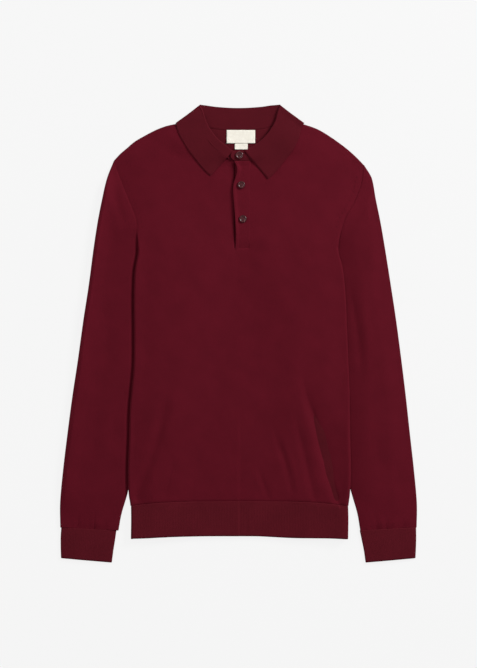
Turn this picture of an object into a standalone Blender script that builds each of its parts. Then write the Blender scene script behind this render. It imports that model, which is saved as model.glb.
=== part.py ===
"""Fine-knit polo sweater with long sleeves, laid flat with its sides folded under.

The neck points to +Y and the front faces +Z. The lowest cloth lies on Z = 0.
All lengths below are millimetres, and are turned into metres in wall() and turned().
"Left" and "right" are as seen from above, with the neck at the top.
"""
from math import cos, pi, radians, sin

import bmesh
import bpy
import numpy as np
from mathutils import Matrix

MM = 0.001

# Cloth walls and the room between them.
KNIT = 1.2
RIB = 1.7
COLLAR_CLOTH = 1.5
LABEL_CLOTH = 1.0
SEAM = 0.4
LAYER = KNIT + SEAM

# Middle of the whole footprint, in the measures of the tables.
FOOTPRINT_X = -0.5
FOOTPRINT_Y = -0.7

# Levels down the body. The hem's edges dip by the corner values towards the sides.
NECK_SEAM = 283.9
FOLD_TOP = 140.0
HEM_SEAM = -278.0
HEM_SEAM_CORNER = 8.0
HEM_FOOT = -333.6
HEM_FOOT_CORNER = 4.2
PANEL_UPPER_ROWS = 9
ARMHOLE_END = 0.985

# The part of each side that is folded under the body, and the folded edge itself.
TUCK_AT_CHEST = 82.0
TUCK_AT_HEM = 55.0
TUCK_DROP = 33.0
LIFT_RUN = 45.0
LIFT_RISE = 50.0
BEND_INSET = 4.5
NESTING = 1.0

# Heights that the cloth stands up by itself, and the distances over which it does so.
SIDE_FULLNESS = 0.3
BODY_FULLNESS = 1.5
WAIST_FULLNESS = 1.3
WAIST_TOP = -40.0
WAIST_RUN = 90.0
SIDE_RUN = 30.0
SHOULDER_RUN = 35.0
BACK_SPRING = 0.8
FRONT_SPRING = 1.7
SPRING_REACH = 15.0
FOLD_RUN = 24.0
SLEEVE_FULLNESS = 2.8
SLEEVE_RUN = 26.0
CUFF_FULLNESS = 1.4
CUFF_CELLS = 6
EDGE_ROUND = 1.2

# Placket, neckband end, buttons and labels.
SLOT_LEFT = -7.0
SLOT_RIGHT = 17.0
BAND_FOOT = 134.0
BAND_RIGHT = 20.0
BAND_CURL = 0.8
UNDERLAP_SIDE = 0.8
UNDERLAP_TOP = 299.0
TAB_LEFT = -9.5
TAB_RIGHT = 25.0
TAB_TOP = 302.3
TAB_SLOPE = 0.75
TAB_SLOPE_START = 4.0
TAB_ROUND = 7.0
BUTTON_SHANK = 0.5
HOLE_CIRCLE = 1.35
HOLE_RADIUS = 0.55
LABELS = {"neck_label": (-19.3, 27.2, 313.4, 331.6), "size_tab": (-5.9, 15.0, 303.2, 312.6)}


def table(columns, *rows):
    """One array for each named column of a short table."""
    return dict(zip(columns.split(), np.array(rows, float).T))


# Half width of what shows of the body: armhole seam down to FOLD_TOP, folded edge below it.
SIDE = table(
    "y left right",
    (290, 206.5, 210.0),
    (276, 203.0, 207.0),
    (250, 193.5, 203.5),
    (216, 180.0, 191.0),
    (194, 170.0, 178.5),
    (166, 165.0, 169.0),
    (140, 163.5, 164.5),
    (104, 170.5, 172.5),
    (76, 174.5, 175.5),
    (-12, 175.8, 179.8),
    (-92, 178.8, 183.2),
    (-163, 182.3, 184.0),
    (-257, 184.8, 184.4),
    (-290, 182.5, 183.5),
)

# Half width of the ribbed hem.
HEM_SIDE = table("y left right", (-278, 176.5, 180.5), (-300, 176.0, 181.2), (-342, 176.5, 180.8))

# Shoulder line from its outer corner to the side of the neck.
SHOULDER = table(
    "left_x left_y right_x right_y",
    (205.4, 284.6, 207.0, 277.0),
    (195.5, 295.3, 198.5, 286.0),
    (184.0, 305.2, 188.9, 295.3),
    (172.4, 315.1, 177.4, 305.2),
    (155.9, 325.0, 164.2, 315.1),
    (134.5, 334.9, 149.3, 325.0),
    (118.0, 340.2, 131.2, 334.9),
    (103.0, 343.2, 106.0, 343.0),
    (72.0, 353.5, 72.0, 353.5),
)

# Neck edge of each panel, from the side of the neck to the middle.
NECK = table(
    "x front back",
    (72.0, 353.5, 353.5),
    (66.0, 341.0, 347.0),
    (54.0, 322.0, 341.5),
    (38.0, 303.5, 337.5),
    (20.0, 289.0, 335.6),
    (0.0, 284.0, 335.0),
)

# Sleeves: outer edge and inner edge of each cross section, from armhole to cuff seam.
# The last columns move the left sleeve's points to the right sleeve's, and say how much of the
# armhole's curve the section keeps.
SLEEVE = table(
    "outer_x outer_y inner_x inner_y right_outer right_inner curve",
    (206.0, 284.0, 80.0, 101.0, 2.6, 0.0, 1.0),
    (216.8, 256.0, 88.0, 86.0, 1.6, 0.0, 0.84),
    (225.0, 221.0, 96.0, 68.0, 0.2, 0.0, 0.64),
    (232.6, 182.0, 105.0, 45.0, 0.4, 0.0, 0.45),
    (239.4, 136.0, 115.5, 14.0, 1.0, 0.0, 0.28),
    (246.7, 80.0, 126.5, -26.0, 3.0, 0.0, 0.14),
    (255.5, 22.0, 138.0, -76.0, 2.6, 0.0, 0.05),
    (264.4, -42.0, 150.0, -128.0, 1.9, 0.0, 0.0),
    (273.8, -104.0, 161.5, -176.0, -0.4, 0.6, 0.0),
    (282.4, -166.0, 173.0, -222.0, -1.2, 1.6, 0.0),
    (289.6, -226.0, 183.6, -266.0, -1.2, 3.4, 0.0),
    (294.2, -280.0, 193.0, -298.0, -1.0, 3.2, 0.0),
    (293.6, -319.8, 198.2, -323.6, -0.8, 2.8, 0.0),
)

# The right shoulder's outer corner lies lower than the left one's by this much.
RIGHT_CORNER_DROP = -7.4

# Front of the armhole seam where it lies under the body, down to the underarm point.
UNDER_ARM = table("x y", (160.5, 130.5), (139.0, 118.0), (112.0, 108.0), (80.0, 101.0))

CUFF = table(
    "outer_x outer_y inner_x inner_y right_outer right_inner",
    (292.2, -321.2, 202.4, -326.2, 0.6, -1.4),
    (293.2, -337.0, 204.6, -341.5, -0.2, -0.4),
    (293.2, -354.0, 207.4, -359.0, -0.6, 0.4),
    (292.6, -371.6, 210.0, -378.8, -0.8, 0.6),
)

# Collar, by side: where the neck seam, the fold line and the free edge lie at each section.
# turn is 90 where the fall lies over the stand and -90 where it lies under it. The outer
# corner has one fold point and one edge point, with a seam point for each step of its turn.
COLLAR_FRONT = {
    "left": table(
        "seam_x seam_y fold_x fold_y edge_x edge_y turn",
        (13.0, 285.2, 12.0, 301.8, 46.6, 259.6, 90),
        (27.0, 294.6, 22.5, 311.0, 58.5, 271.5, 90),
        (41.5, 307.4, 35.5, 322.0, 72.0, 288.2, 88),
        (56.0, 325.4, 46.5, 336.5, 84.5, 305.0, 82),
        (67.0, 343.6, 54.5, 352.5, 95.0, 322.5, 66),
        (72.2, 352.6, 59.5, 367.0, 101.2, 337.6, 38),
    ),
    "right": table(
        "seam_x seam_y fold_x fold_y edge_x edge_y turn",
        (14.0, 285.8, 9.5, 300.6, 48.7, 254.3, 90),
        (28.0, 295.4, 24.0, 308.6, 63.0, 268.6, 90),
        (42.0, 307.8, 38.5, 319.5, 77.5, 286.6, 88),
        (56.5, 326.0, 52.0, 335.0, 90.5, 304.0, 82),
        (67.5, 344.0, 61.0, 351.0, 99.6, 323.0, 66),
        (72.2, 352.6, 65.5, 367.0, 103.2, 338.0, 38),
    ),
}
COLLAR_CORNER = {"left": (61.9, 376.0, 103.6, 347.0), "right": (67.6, 376.0, 108.0, 347.2)}
COLLAR_BACK = table(
    "seam_x seam_y fold_x fold_y edge_x edge_y turn",
    (61.0, 343.6, 55.0, 374.4, 82.0, 330.0, -80),
    (45.0, 337.8, 40.0, 372.6, 62.0, 317.0, -90),
    (23.0, 334.6, 20.0, 371.4, 32.0, 307.5, -90),
    (0.0, 333.8, 0.0, 371.0, 0.0, 304.0, -90),
)
CORNER_SEAM = table(
    "x y turn",
    (73.4, 353.4, 28),
    (73.0, 354.6, 14),
    (71.8, 354.6, 0),
    (70.0, 352.6, -20),
    (67.0, 348.8, -48),
)
CORNER_TURNS = (68, 35, 0, -35, -68)
STAND_CLEARANCE = 0.72
STAND_CELLS = 3
FALL_CROWN = 1.0
FOLD_RADIUS_FRONT = 2.0
FOLD_RADIUS_BACK = 1.3
CORNER_RADIUS = 3.1
FRONT_FOLD_HEIGHT = 8.3
BACK_FOLD_HEIGHT = 2.05
CORNER_HEIGHT = 3.85
COLLAR_LIFT = 2.4

# Free edge of the upper placket band, which waves between the first two buttons.
BAND_EDGE = table(
    "y x",
    (284, -6.8),
    (274, -3.0),
    (262, -7.6),
    (249, -10.2),
    (218, -8.9),
    (184, -7.1),
    (149, -5.6),
    (134, -5.2),
)

BUTTONS = {"button_1": (1.6, 293.2), "button_2": (4.8, 244.5), "button_3": (7.4, 188.3)}

# Outline of a button as (radius, height) pairs, foot first: the side, the rim and the dish.
BUTTON_OUTLINE = [(4.9, 0.0), (5.9, 0.7), (6.1, 1.7), (5.6, 2.5), (4.7, 2.6), (3.9, 1.9), (2.2, 1.7)]

# Largest folds: middle line (x, y), half width and height. A negative height is a trough.
BODY_FOLDS = (
    ([(103, -46), (116, -109), (131, -155), (144, -200), (154, -238), (164, -271)], 9.0, -2.4),
    ([(94, -60), (108, -112), (121, -165), (132, -231), (142, -262)], 9.0, 1.5),
    ([(100, -165), (114, -213), (124, -243), (133, -271)], 8.0, -1.5),
    ([(60, -165), (80, -213), (88, -246), (96, -268)], 8.0, -1.3),
    ([(-134, -180), (-146, -231), (-158, -266)], 9.0, -1.8),
    ([(-146, -168), (-160, -220), (-170, -258)], 8.0, 1.2),
)
SLEEVE_FOLDS = (
    ([(188, 95), (192, 40), (202, -3), (205, -66), (211, -110)], 8.0, -1.4),
    ([(216, 232), (219, 200), (222, 168)], 8.0, -0.9),
    ([(-212, 60), (-217, -20), (-226, -90)], 12.0, -0.6),
)

CLOTH_COLOUR = (0.098, 0.007, 0.0137, 1)
RIB_COLOUR = (0.080, 0.0062, 0.0115, 1)
BUTTON_COLOUR = (0.045, 0.008, 0.010, 1)
LABEL_COLOUR = (0.84, 0.81, 0.73, 1)


def smooth(value):
    """0 to 1 with level ends."""
    held = np.clip(value, 0.0, 1.0)
    return held * held * (3.0 - 2.0 * held)


def read(rows, y, column):
    """Value of a column at a level, from a table that runs downwards."""
    return np.interp(-np.asarray(y, float), -rows["y"], rows[column])


def hand(x):
    """Column name for the side of the centre line that a point is on."""
    return np.where(np.asarray(x) < 0, "left", "right")


def by_side(rows, x, y):
    """Value for each point from the column of its own side."""
    return np.where(hand(x) == "left", read(rows, y, "left"), read(rows, y, "right"))


def spread(points, count, curved=True):
    """Evenly spaced points along a line through the given ones."""
    points = np.asarray(points, float)
    lengths = np.r_[0, np.cumsum(np.linalg.norm(np.diff(points, axis=0), axis=1))]
    wanted = np.linspace(0, lengths[-1], count)
    if not curved:
        return np.column_stack([np.interp(wanted, lengths, axis) for axis in points.T])
    slopes = np.gradient(points, lengths, axis=0)
    after = np.clip(np.searchsorted(lengths, wanted, side="right"), 1, len(lengths) - 1)
    span = (lengths[after] - lengths[after - 1])[:, None]
    t = (wanted - lengths[after - 1])[:, None] / span
    first = points[after - 1] * (1 + 2 * t) * (1 - t) ** 2 + slopes[after - 1] * span * t * (1 - t) ** 2
    second = points[after] * (3 - 2 * t) * t**2 + slopes[after] * span * t**2 * (t - 1)
    return first + second


def fold_height(folds, x, y):
    """Sum of the soft troughs and ridges at each point."""
    x, y = np.broadcast_arrays(np.asarray(x, float), np.asarray(y, float))
    total = np.zeros(x.shape)
    for line, half_width, height in folds:
        middle = spread(line, 24)
        fade = np.sin(np.linspace(0.12, 0.88, 24) * pi)
        gap = np.hypot(x[..., None] - middle[:, 0], y[..., None] - middle[:, 1])
        nearest = gap.argmin(-1)
        total += height * fade[nearest] * np.exp(-((gap.min(-1) / half_width) ** 2))
    return total


# ---------------------------------------------------------------- heights of the layers


def tuck_width(y):
    """How much of the side lies folded under the body."""
    return np.interp(-np.asarray(y, float), [-FOLD_TOP, -HEM_SEAM], [TUCK_AT_CHEST, TUCK_AT_HEM])


def sleeve_inner(y):
    """Half distance between the hidden inner edges of the sleeves."""
    return np.interp(-np.asarray(y, float), -SLEEVE["inner_y"], SLEEVE["inner_x"])


def under_fade(x, y):
    """1 below the top edge of the folded-under side, 0 well above it."""
    inward = np.clip((FOLD_TOP + 23.5 - np.abs(x)) / TUCK_AT_CHEST, 0, 1)
    return smooth((FOLD_TOP - TUCK_DROP * inward + LIFT_RISE - y) / LIFT_RISE)


def sleeve_lift(x, y):
    """Height that a sleeve takes up under the body."""
    inner = sleeve_inner(y) - 20.0
    return 2 * LAYER * smooth((np.abs(x) - inner + LIFT_RUN) / LIFT_RUN) * under_fade(x, y)


def tuck_lift(x, y):
    """Height that the folded-under side takes up under the body."""
    inner = by_side(SIDE, x, y) - tuck_width(y) - 4.0
    return 2 * LAYER * smooth((np.abs(x) - inner + LIFT_RUN) / LIFT_RUN) * under_fade(x, y)


def collar_lift(x, y):
    """Height that the back of the collar takes up under the shoulders."""
    reach = np.hypot(np.asarray(x) / 106.0, (np.asarray(y) - 342.0) / 45.0)
    return COLLAR_LIFT * smooth((1.5 - reach) / 0.42)


def edge_spring(x, y):
    """1 at the folded side edge, where the cloth springs up, 0 away from it."""
    inward = by_side(SIDE, x, y) - np.abs(x)
    return np.exp(-((inward / SPRING_REACH) ** 2)) * smooth((FOLD_TOP + 28.0 - np.asarray(y)) / 36.0)


def shoulder_level(x):
    """Height up the body of the shoulder line at each distance from the middle."""
    reach = np.abs(x)
    left = np.interp(-reach, -SHOULDER["left_x"], SHOULDER["left_y"])
    right = np.interp(-reach, -SHOULDER["right_x"], SHOULDER["right_y"])
    return np.where(hand(x) == "left", left, right)


def back_height(x, y):
    """Middle of the back panel's wall."""
    lifts = sleeve_lift(x, y) + tuck_lift(x, y) + collar_lift(x, y)
    return KNIT / 2 + lifts + BACK_SPRING * edge_spring(x, y)


def front_height(x, y):
    """Middle of the front panel's wall."""
    from_side = by_side(SIDE, x, y) - np.abs(x)
    inward = smooth(from_side / SIDE_RUN)
    below = smooth((shoulder_level(x) - np.asarray(y)) / SHOULDER_RUN)
    fullness = SIDE_FULLNESS + BODY_FULLNESS * inward * below + FRONT_SPRING * edge_spring(x, y)
    fullness = fullness + WAIST_FULLNESS * inward * smooth((WAIST_TOP - np.asarray(y)) / WAIST_RUN)
    folds = fold_height(BODY_FOLDS, x, y) * smooth(from_side / FOLD_RUN)
    return back_height(x, y) + LAYER + fullness + folds


# ---------------------------------------------------------------- solids


def material(name, colour, roughness):
    """A plain shader with the part's colour."""
    made = bpy.data.materials.new(name)
    made.use_nodes = True
    shader = made.node_tree.nodes["Principled BSDF"]
    shader.inputs["Base Color"].default_value = colour
    shader.inputs["Roughness"].default_value = roughness
    return made


def add_object(name, mesh, finish, angle=50):
    """Put a mesh into the scene as a smooth-shaded object."""
    mesh.materials.append(finish)
    mesh.shade_smooth()
    mesh.set_sharp_from_angle(angle=radians(angle))
    made = bpy.data.objects.new(name, mesh)
    bpy.context.collection.objects.link(made)
    return made


def wall(name, grid, thickness, finish, keep=None, closed=False):
    """A closed wall of cloth around a grid of middle points.

    grid is rows x columns x 3. keep says which cells hold cloth. closed joins the last
    column to the first, which makes a tube.
    """
    grid = np.asarray(grid, float)
    rows, columns = grid.shape[:2]
    across = columns if closed else columns - 1
    if keep is None:
        keep = np.ones((rows - 1, across), bool)
    index = np.arange(rows * columns).reshape(rows, columns)
    following = np.roll(index, -1, axis=1)
    cells = np.stack([index[:-1], following[:-1], following[1:], index[1:]], -1)[:, :across][keep]

    points = grid.reshape(-1, 3)
    corners = points[cells]
    facing = np.cross(corners[:, 2] - corners[:, 0], corners[:, 3] - corners[:, 1])
    normals = np.zeros_like(points)
    for corner in range(4):
        np.add.at(normals, cells[:, corner], facing)
    used = np.linalg.norm(normals, axis=1) > 0
    normals[used] /= np.linalg.norm(normals[used], axis=1)[:, None]

    offset = np.array([FOOTPRINT_X, FOOTPRINT_Y, 0.0])
    upper = (points + normals * thickness / 2 - offset)[used] * MM
    lower = (points - normals * thickness / 2 - offset)[used] * MM
    renumber = np.cumsum(used) - 1
    cells = renumber[cells]
    count = int(used.sum())
    faces = [tuple(cell) for cell in cells]
    faces += [tuple(cell[::-1] + count) for cell in cells]
    edges = {(cell[k], cell[(k + 1) % 4]) for cell in cells.tolist() for k in range(4)}
    faces += [(b, a, a + count, b + count) for a, b in edges if (b, a) not in edges]

    mesh = bpy.data.meshes.new(name)
    mesh.from_pydata(np.vstack([upper, lower]).tolist(), [], [list(map(int, face)) for face in faces])
    shape = bmesh.new()
    shape.from_mesh(mesh)
    bmesh.ops.recalc_face_normals(shape, faces=shape.faces)
    shape.to_mesh(mesh)
    shape.free()
    return add_object(name, mesh, finish)


# ---------------------------------------------------------------- body panels


def top_edge(side, panel, shoulder_cells, neck_cells):
    """Points of a panel's top edge from its outer corner to the middle."""
    sign = -1 if side == "left" else 1
    shoulder = np.column_stack([SHOULDER[side + "_x"], SHOULDER[side + "_y"]])
    shoulder = spread(shoulder, shoulder_cells + 1)
    inner = {"left": -SLOT_LEFT, "right": SLOT_RIGHT}[side] if panel == "front" else 0.0
    neck = spread(np.column_stack([NECK["x"], NECK[panel]]), 60)
    neck = spread(neck[neck[:, 0] >= inner - 0.2], neck_cells + 1, curved=False)
    line = np.vstack([shoulder, neck[1:]])
    line[-1, 0] = inner
    return line * [sign, 1]


def hem_line(x, level, corner):
    """Level of a hem edge, which dips towards its corners."""
    return level - corner * (np.abs(x) / 180.0) ** 4


def main_height(x, y, layer, extra):
    """Middle of a panel (layer 0 front, 1 back) whose wall is thicker than KNIT by extra."""
    thicker = extra * tuck_lift(x, y) / LAYER
    if layer == 0:
        return front_height(x, y) + 1.5 * extra + thicker
    return back_height(x, y) + 0.5 * extra + thicker


def tuck_height(x, y, layer, extra):
    """Middle of the folded-under stretch of the front (layer 0) or the back (layer 1)."""
    return KNIT / 2 + sleeve_lift(x, y) + layer * LAYER + (0.5 + layer) * extra


def bend(rows, side, y, layer, extra):
    """Where the folded side edge turns: its centre line's x and z, and its radius."""
    sign = -1 if side == "left" else 1
    edge = float(read(rows, y, side))
    turns = []
    for each in (0, 1):
        x = sign * (edge - BEND_INSET)
        low = float(tuck_height(x, y, each, extra))
        turns.append((low, (float(main_height(x, y, each, extra)) - low) / 2))
    reach = edge - (KNIT + extra) / 2 - turns[0][1]
    if layer == 1:
        reach += turns[0][1] - (KNIT + extra + NESTING) - turns[1][1]
    low, radius = turns[layer]
    return sign * reach, low + radius, radius


def folded_side(rows, side, y, drop, layer, extra, cells):
    """Points of the folded-under stretch in one row, from its inner end to the top of the bend."""
    sign = -1 if side == "left" else 1
    bend_cells, tuck_cells = cells
    centre, middle, radius = bend(rows, side, y, layer, extra)
    points = []
    for step in range(tuck_cells, 0, -1):
        x = centre - sign * tuck_width(y) * step / tuck_cells
        lower = y - drop * step / tuck_cells
        points.append((x, lower, float(tuck_height(x, lower, layer, extra))))
    for step in range(bend_cells):
        angle = pi * (1 - step / bend_cells)
        points.append((centre + sign * radius * sin(angle), y, middle + radius * cos(angle)))
    return np.array(points)


def half_rows(side, panel, spans, cells):
    """Rows of middle points for one half of a panel: the body, then its ribbed hem."""
    layer = 0 if panel == "front" else 1
    edge = top_edge(side, panel, *spans)
    sign = -1 if side == "left" else 1
    share = (edge[:, 0] - edge[-1, 0]) / (edge[0, 0] - edge[-1, 0])
    fold_cells = cells["bend"], cells["tuck"]
    body, hem = [], []
    for t in np.r_[np.arange(PANEL_UPPER_ROWS) / PANEL_UPPER_ROWS, ARMHOLE_END]:
        y = edge[:, 1] + (FOLD_TOP - edge[:, 1]) * t
        reach = sign * (read(SIDE, y[0], side) - SEAM / 2) if t else edge[0, 0]
        x = edge[-1, 0] + (reach - edge[-1, 0]) * share
        empty = np.repeat([[x[0], y[0], 0.0]], sum(fold_cells), axis=0)
        body.append(np.vstack([empty, np.column_stack([x, y, main_height(x, y, layer, 0)])]))
    for t in np.linspace(0, 1, cells["lower"] + 1):
        level = FOLD_TOP + (HEM_SEAM - HEM_SEAM_CORNER + SEAM - FOLD_TOP) * t
        centre = bend(SIDE, side, level, layer, 0)[0]
        x = edge[-1, 0] + (centre - edge[-1, 0]) * share
        y = FOLD_TOP + (hem_line(x, HEM_SEAM, HEM_SEAM_CORNER) + SEAM - FOLD_TOP) * t
        under = folded_side(SIDE, side, level, TUCK_DROP * (1 - t) ** 2, layer, 0, fold_cells)
        body.append(np.vstack([under, np.column_stack([x, y, main_height(x, y, layer, 0)])]))
    for t in np.linspace(0, 1, cells["hem"] + 1):
        level = HEM_SEAM - HEM_SEAM_CORNER + (HEM_FOOT - HEM_FOOT_CORNER - HEM_SEAM + HEM_SEAM_CORNER) * t
        centre = bend(HEM_SIDE, side, level, layer, RIB - KNIT)[0]
        x = edge[-1, 0] + (centre - edge[-1, 0]) * share
        y = hem_line(x, HEM_SEAM, HEM_SEAM_CORNER) * (1 - t) + hem_line(x, HEM_FOOT, HEM_FOOT_CORNER) * t
        under = folded_side(HEM_SIDE, side, level, 0, layer, RIB - KNIT, fold_cells)
        hem.append(np.vstack([under, np.column_stack([x, y, main_height(x, y, layer, RIB - KNIT)])]))
    return np.array(body), np.array(hem)


def build_panel(panel, spans, cells, knit, rib):
    """A body panel with its sides folded under, and the ribbed welt at its foot."""
    left, left_hem = half_rows("left", panel, spans, cells)
    right, right_hem = half_rows("right", panel, spans, cells)
    shared = 0 if panel == "front" else 1
    grid = np.concatenate([left, right[:, ::-1][:, shared:]], axis=1)
    keep = np.ones((grid.shape[0] - 1, grid.shape[1] - 1), bool)
    above_fold = slice(0, PANEL_UPPER_ROWS + 1)
    hidden = cells["bend"] + cells["tuck"]
    keep[above_fold, :hidden] = False
    keep[above_fold, -hidden:] = False
    if panel == "front":
        keep[above_fold, left.shape[1] - 1] = False
    wall(panel + "_panel", grid, KNIT, knit, keep)
    hem = np.concatenate([left_hem, right_hem[:, ::-1][:, shared:]], axis=1)
    wall("hem_rib_" + panel, hem, RIB, rib)


# ---------------------------------------------------------------- sleeves and cuffs


def sleeve_height(x, y, from_edge):
    """Middle of the upper layer of a sleeve. from_edge is the distance from its outer edge."""
    flat = KNIT / 2 + LAYER
    side = by_side(SIDE, x, y)
    outward = np.abs(x) - side
    full = SLEEVE_FULLNESS * smooth(outward / SLEEVE_RUN) * (0.35 + 0.65 * smooth(from_edge / 20.0))
    at_seam = front_height(np.sign(x) * (side - SEAM), y) - flat
    beside = at_seam * smooth(1 - outward / SIDE_RUN) * smooth((y - FOLD_TOP - 2.0) / 8.0)
    folds = fold_height(SLEEVE_FOLDS, x, y) * smooth(outward / 16.0)
    return flat + full + beside + folds


def armhole(side):
    """Points down the front of the armhole: the seam that shows, then the part under the body."""
    outer = np.array([SLEEVE["outer_x"][0], SLEEVE["outer_y"][0]])
    top = SHOULDER[side + "_y"][0]
    levels = top + (FOLD_TOP - top) * np.arange(1, PANEL_UPPER_ROWS) / PANEL_UPPER_ROWS
    seam = np.column_stack([read(SIDE, levels, side) + SEAM, levels])
    turn = [[float(read(SIDE, FOLD_TOP, side)) + 2.0, FOLD_TOP + 2.5]]
    under = np.column_stack([UNDER_ARM["x"], UNDER_ARM["y"]])
    if side == "right":
        outer = outer + [SLEEVE["right_outer"][0], RIGHT_CORNER_DROP]
    return np.vstack([[outer], seam, turn, under])


def build_sleeve(side, finish):
    """A sleeve, as a flattened tube from the armhole to the cuff seam."""
    sign = -1 if side == "left" else 1
    hole = armhole(side)
    share = np.linspace(0, 1, len(hole))
    rings = []
    for row in range(len(SLEEVE["curve"])):
        value = {key: column[row] for key, column in SLEEVE.items()}
        outer = np.array([value["outer_x"], value["outer_y"]])
        inner = np.array([value["inner_x"], value["inner_y"]])
        if side == "right":
            outer[0] += value["right_outer"]
            inner[0] += value["right_inner"]
        if row == 0:
            outer = hole[0]
        straight = outer + (inner - outer) * share[:, None]
        start = hole[0] + (hole[-1] - hole[0]) * share[:, None]
        line = straight + (hole - start) * value["curve"]
        rings.append(sleeve_ring(line, sign))
    wall("sleeve_" + side, rings, KNIT, finish, closed=True)


def sleeve_ring(line, sign):
    """One closed section of a sleeve over the plan line from its outer to its inner edge."""
    x, y = sign * line[:, 0], line[:, 1]
    from_edge = np.hypot(*(line - line[0]).T)
    top = sleeve_height(x, y, from_edge)
    middle = (KNIT / 2 + top) / 2
    upper = np.column_stack([x, y, top])
    lower = np.column_stack([x, y, np.full(len(x), KNIT / 2)])
    inset = (line[1] - line[0]) / np.linalg.norm(line[1] - line[0]) * [sign, 1]
    outer = upper[0].copy()
    outer[:2] += inset * KNIT / 2
    outer[2] = middle[0]
    upper[0, :2] += inset * (KNIT / 2 + EDGE_ROUND)
    lower[0, :2] += inset * (KNIT / 2 + EDGE_ROUND)
    inner = upper[-1].copy()
    inner[2] = middle[-1]
    inset = (line[-2] - line[-1]) / np.linalg.norm(line[-2] - line[-1]) * [sign, 1]
    upper[-1, :2] += inset * EDGE_ROUND
    lower[-1, :2] += inset * EDGE_ROUND
    return np.vstack([[outer], upper, [inner], lower[::-1]])


def build_cuff(side, finish):
    """A ribbed cuff, as a flattened tube."""
    sign = -1 if side == "left" else 1
    rings = []
    for row in range(len(CUFF["outer_x"])):
        value = {key: column[row] for key, column in CUFF.items()}
        moved = side == "right"
        outer = np.array([value["outer_x"] + moved * value["right_outer"], value["outer_y"]])
        inner = np.array([value["inner_x"] + moved * value["right_inner"], value["inner_y"]])
        share = np.linspace(0, 1, CUFF_CELLS + 1)[:, None]
        line = outer + (inner - outer) * share
        x, y = sign * line[:, 0], line[:, 1]
        full = CUFF_FULLNESS * np.sin(share[:, 0] * pi) ** 0.6
        upper = np.column_stack([x, y, RIB / 2 + RIB + 2 * SEAM + full])
        lower = np.column_stack([x, y, np.full(len(x), RIB / 2)])
        step = sign * EDGE_ROUND
        for points in (upper, lower):
            points[0, 0] -= step + sign * RIB / 2
            points[-1, 0] += step + sign * RIB / 2
        outer_edge = [x[0] - sign * RIB / 2, y[0], (upper[0, 2] + RIB / 2) / 2]
        inner_edge = [x[-1] + sign * RIB / 2, y[-1], (upper[-1, 2] + RIB / 2) / 2]
        rings.append(np.vstack([[outer_edge], upper, [inner_edge], lower[::-1]]))
    wall("cuff_" + side, rings, RIB, finish, closed=True)


# ---------------------------------------------------------------- collar


def on_front(x, y, thickness):
    """Middle of a wall that lies on the front panel."""
    return front_height(x, y) + KNIT / 2 + SEAM + thickness / 2


def collar_section(seam, fold, edge, turn, edge_z, outward):
    """Points across the collar: up the stand, over the fold and down the fall."""
    part = (turn + 90.0) / 180.0
    radius = FOLD_RADIUS_BACK + (FOLD_RADIUS_FRONT - FOLD_RADIUS_BACK) * part
    height = BACK_FOLD_HEIGHT + (FRONT_FOLD_HEIGHT - BACK_FOLD_HEIGHT) * part
    angle = radians(turn)
    outward = np.array([outward[0], outward[1], 0.0])
    up = np.array([0.0, 0.0, 1.0])
    fall = cos(angle) * outward + sin(angle) * up
    crest = -sin(angle) * outward + cos(angle) * up
    centre = np.array([fold[0], fold[1], height])
    centre[:2] -= crest[:2] * (radius + COLLAR_CLOTH / 2)
    start = back_height(*seam) * (1 - part) + front_height(*seam) * part
    start = np.array([seam[0], seam[1], float(start) + KNIT / 2 + STAND_CLEARANCE + COLLAR_CLOTH / 2])
    stand_top = centre - fall * radius
    fall_top = centre + fall * radius
    end = np.array([edge[0], edge[1], edge_z])
    points = [start + (stand_top - start) * t for t in (0, 0.5, 1)]
    points += [centre + radius * (crest * sin(a) - fall * cos(a)) for a in (pi / 3, 2 * pi / 3)]
    for t in (0, 0.3, 0.65, 1):
        crown = FALL_CROWN * part * sin(pi * t)
        points.append(fall_top + (end - fall_top) * t + up * crown)
    return np.array(points)


def collar_side(side):
    """Sections of one half of the collar, from its front end to the middle of the back."""
    sign = -1 if side == "left" else 1
    flip = np.array([sign, 1.0])
    front = COLLAR_FRONT[side]
    names = ("seam", "fold", "edge")
    sections = []
    for row in range(len(front["turn"])):
        seam, fold, edge = (np.array([front[n + "_x"][row], front[n + "_y"][row]]) * flip for n in names)
        outward = (edge - fold) / np.linalg.norm(edge - fold)
        edge_z = float(on_front(edge[0], edge[1], COLLAR_CLOTH))
        sections.append(collar_section(seam, fold, edge, front["turn"][row], edge_z, outward))
    fold_x, fold_y, edge_x, edge_y = COLLAR_CORNER[side]
    fold, edge = np.array([fold_x, fold_y]) * flip, np.array([edge_x, edge_y]) * flip
    along = (edge - fold) / np.linalg.norm(edge - fold)
    out = np.array([-along[1], along[0]]) * (1 if side == "right" else -1)
    for row, turn in enumerate(CORNER_TURNS):
        angle = radians(turn)
        point = edge + out * (CORNER_RADIUS * (cos(angle) - 1) - COLLAR_CLOTH / 2)
        seam = np.array([CORNER_SEAM["x"][row], CORNER_SEAM["y"][row]]) * flip
        height = CORNER_HEIGHT + CORNER_RADIUS * sin(angle)
        sections.append(collar_section(seam, fold, point, CORNER_SEAM["turn"][row], height, along))
    for row in range(len(COLLAR_BACK["turn"])):
        seam, fold, edge = (np.array([COLLAR_BACK[n + "_x"][row], COLLAR_BACK[n + "_y"][row]]) * flip
                            for n in names)
        outward = np.array([0.0, -1.0])
        if row == 0:
            outward = (edge - fold) / np.linalg.norm(edge - fold)
        turn = COLLAR_BACK["turn"][row]
        sections.append(collar_section(seam, fold, edge, turn, COLLAR_CLOTH / 2, outward))
    return np.array(sections)


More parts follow.
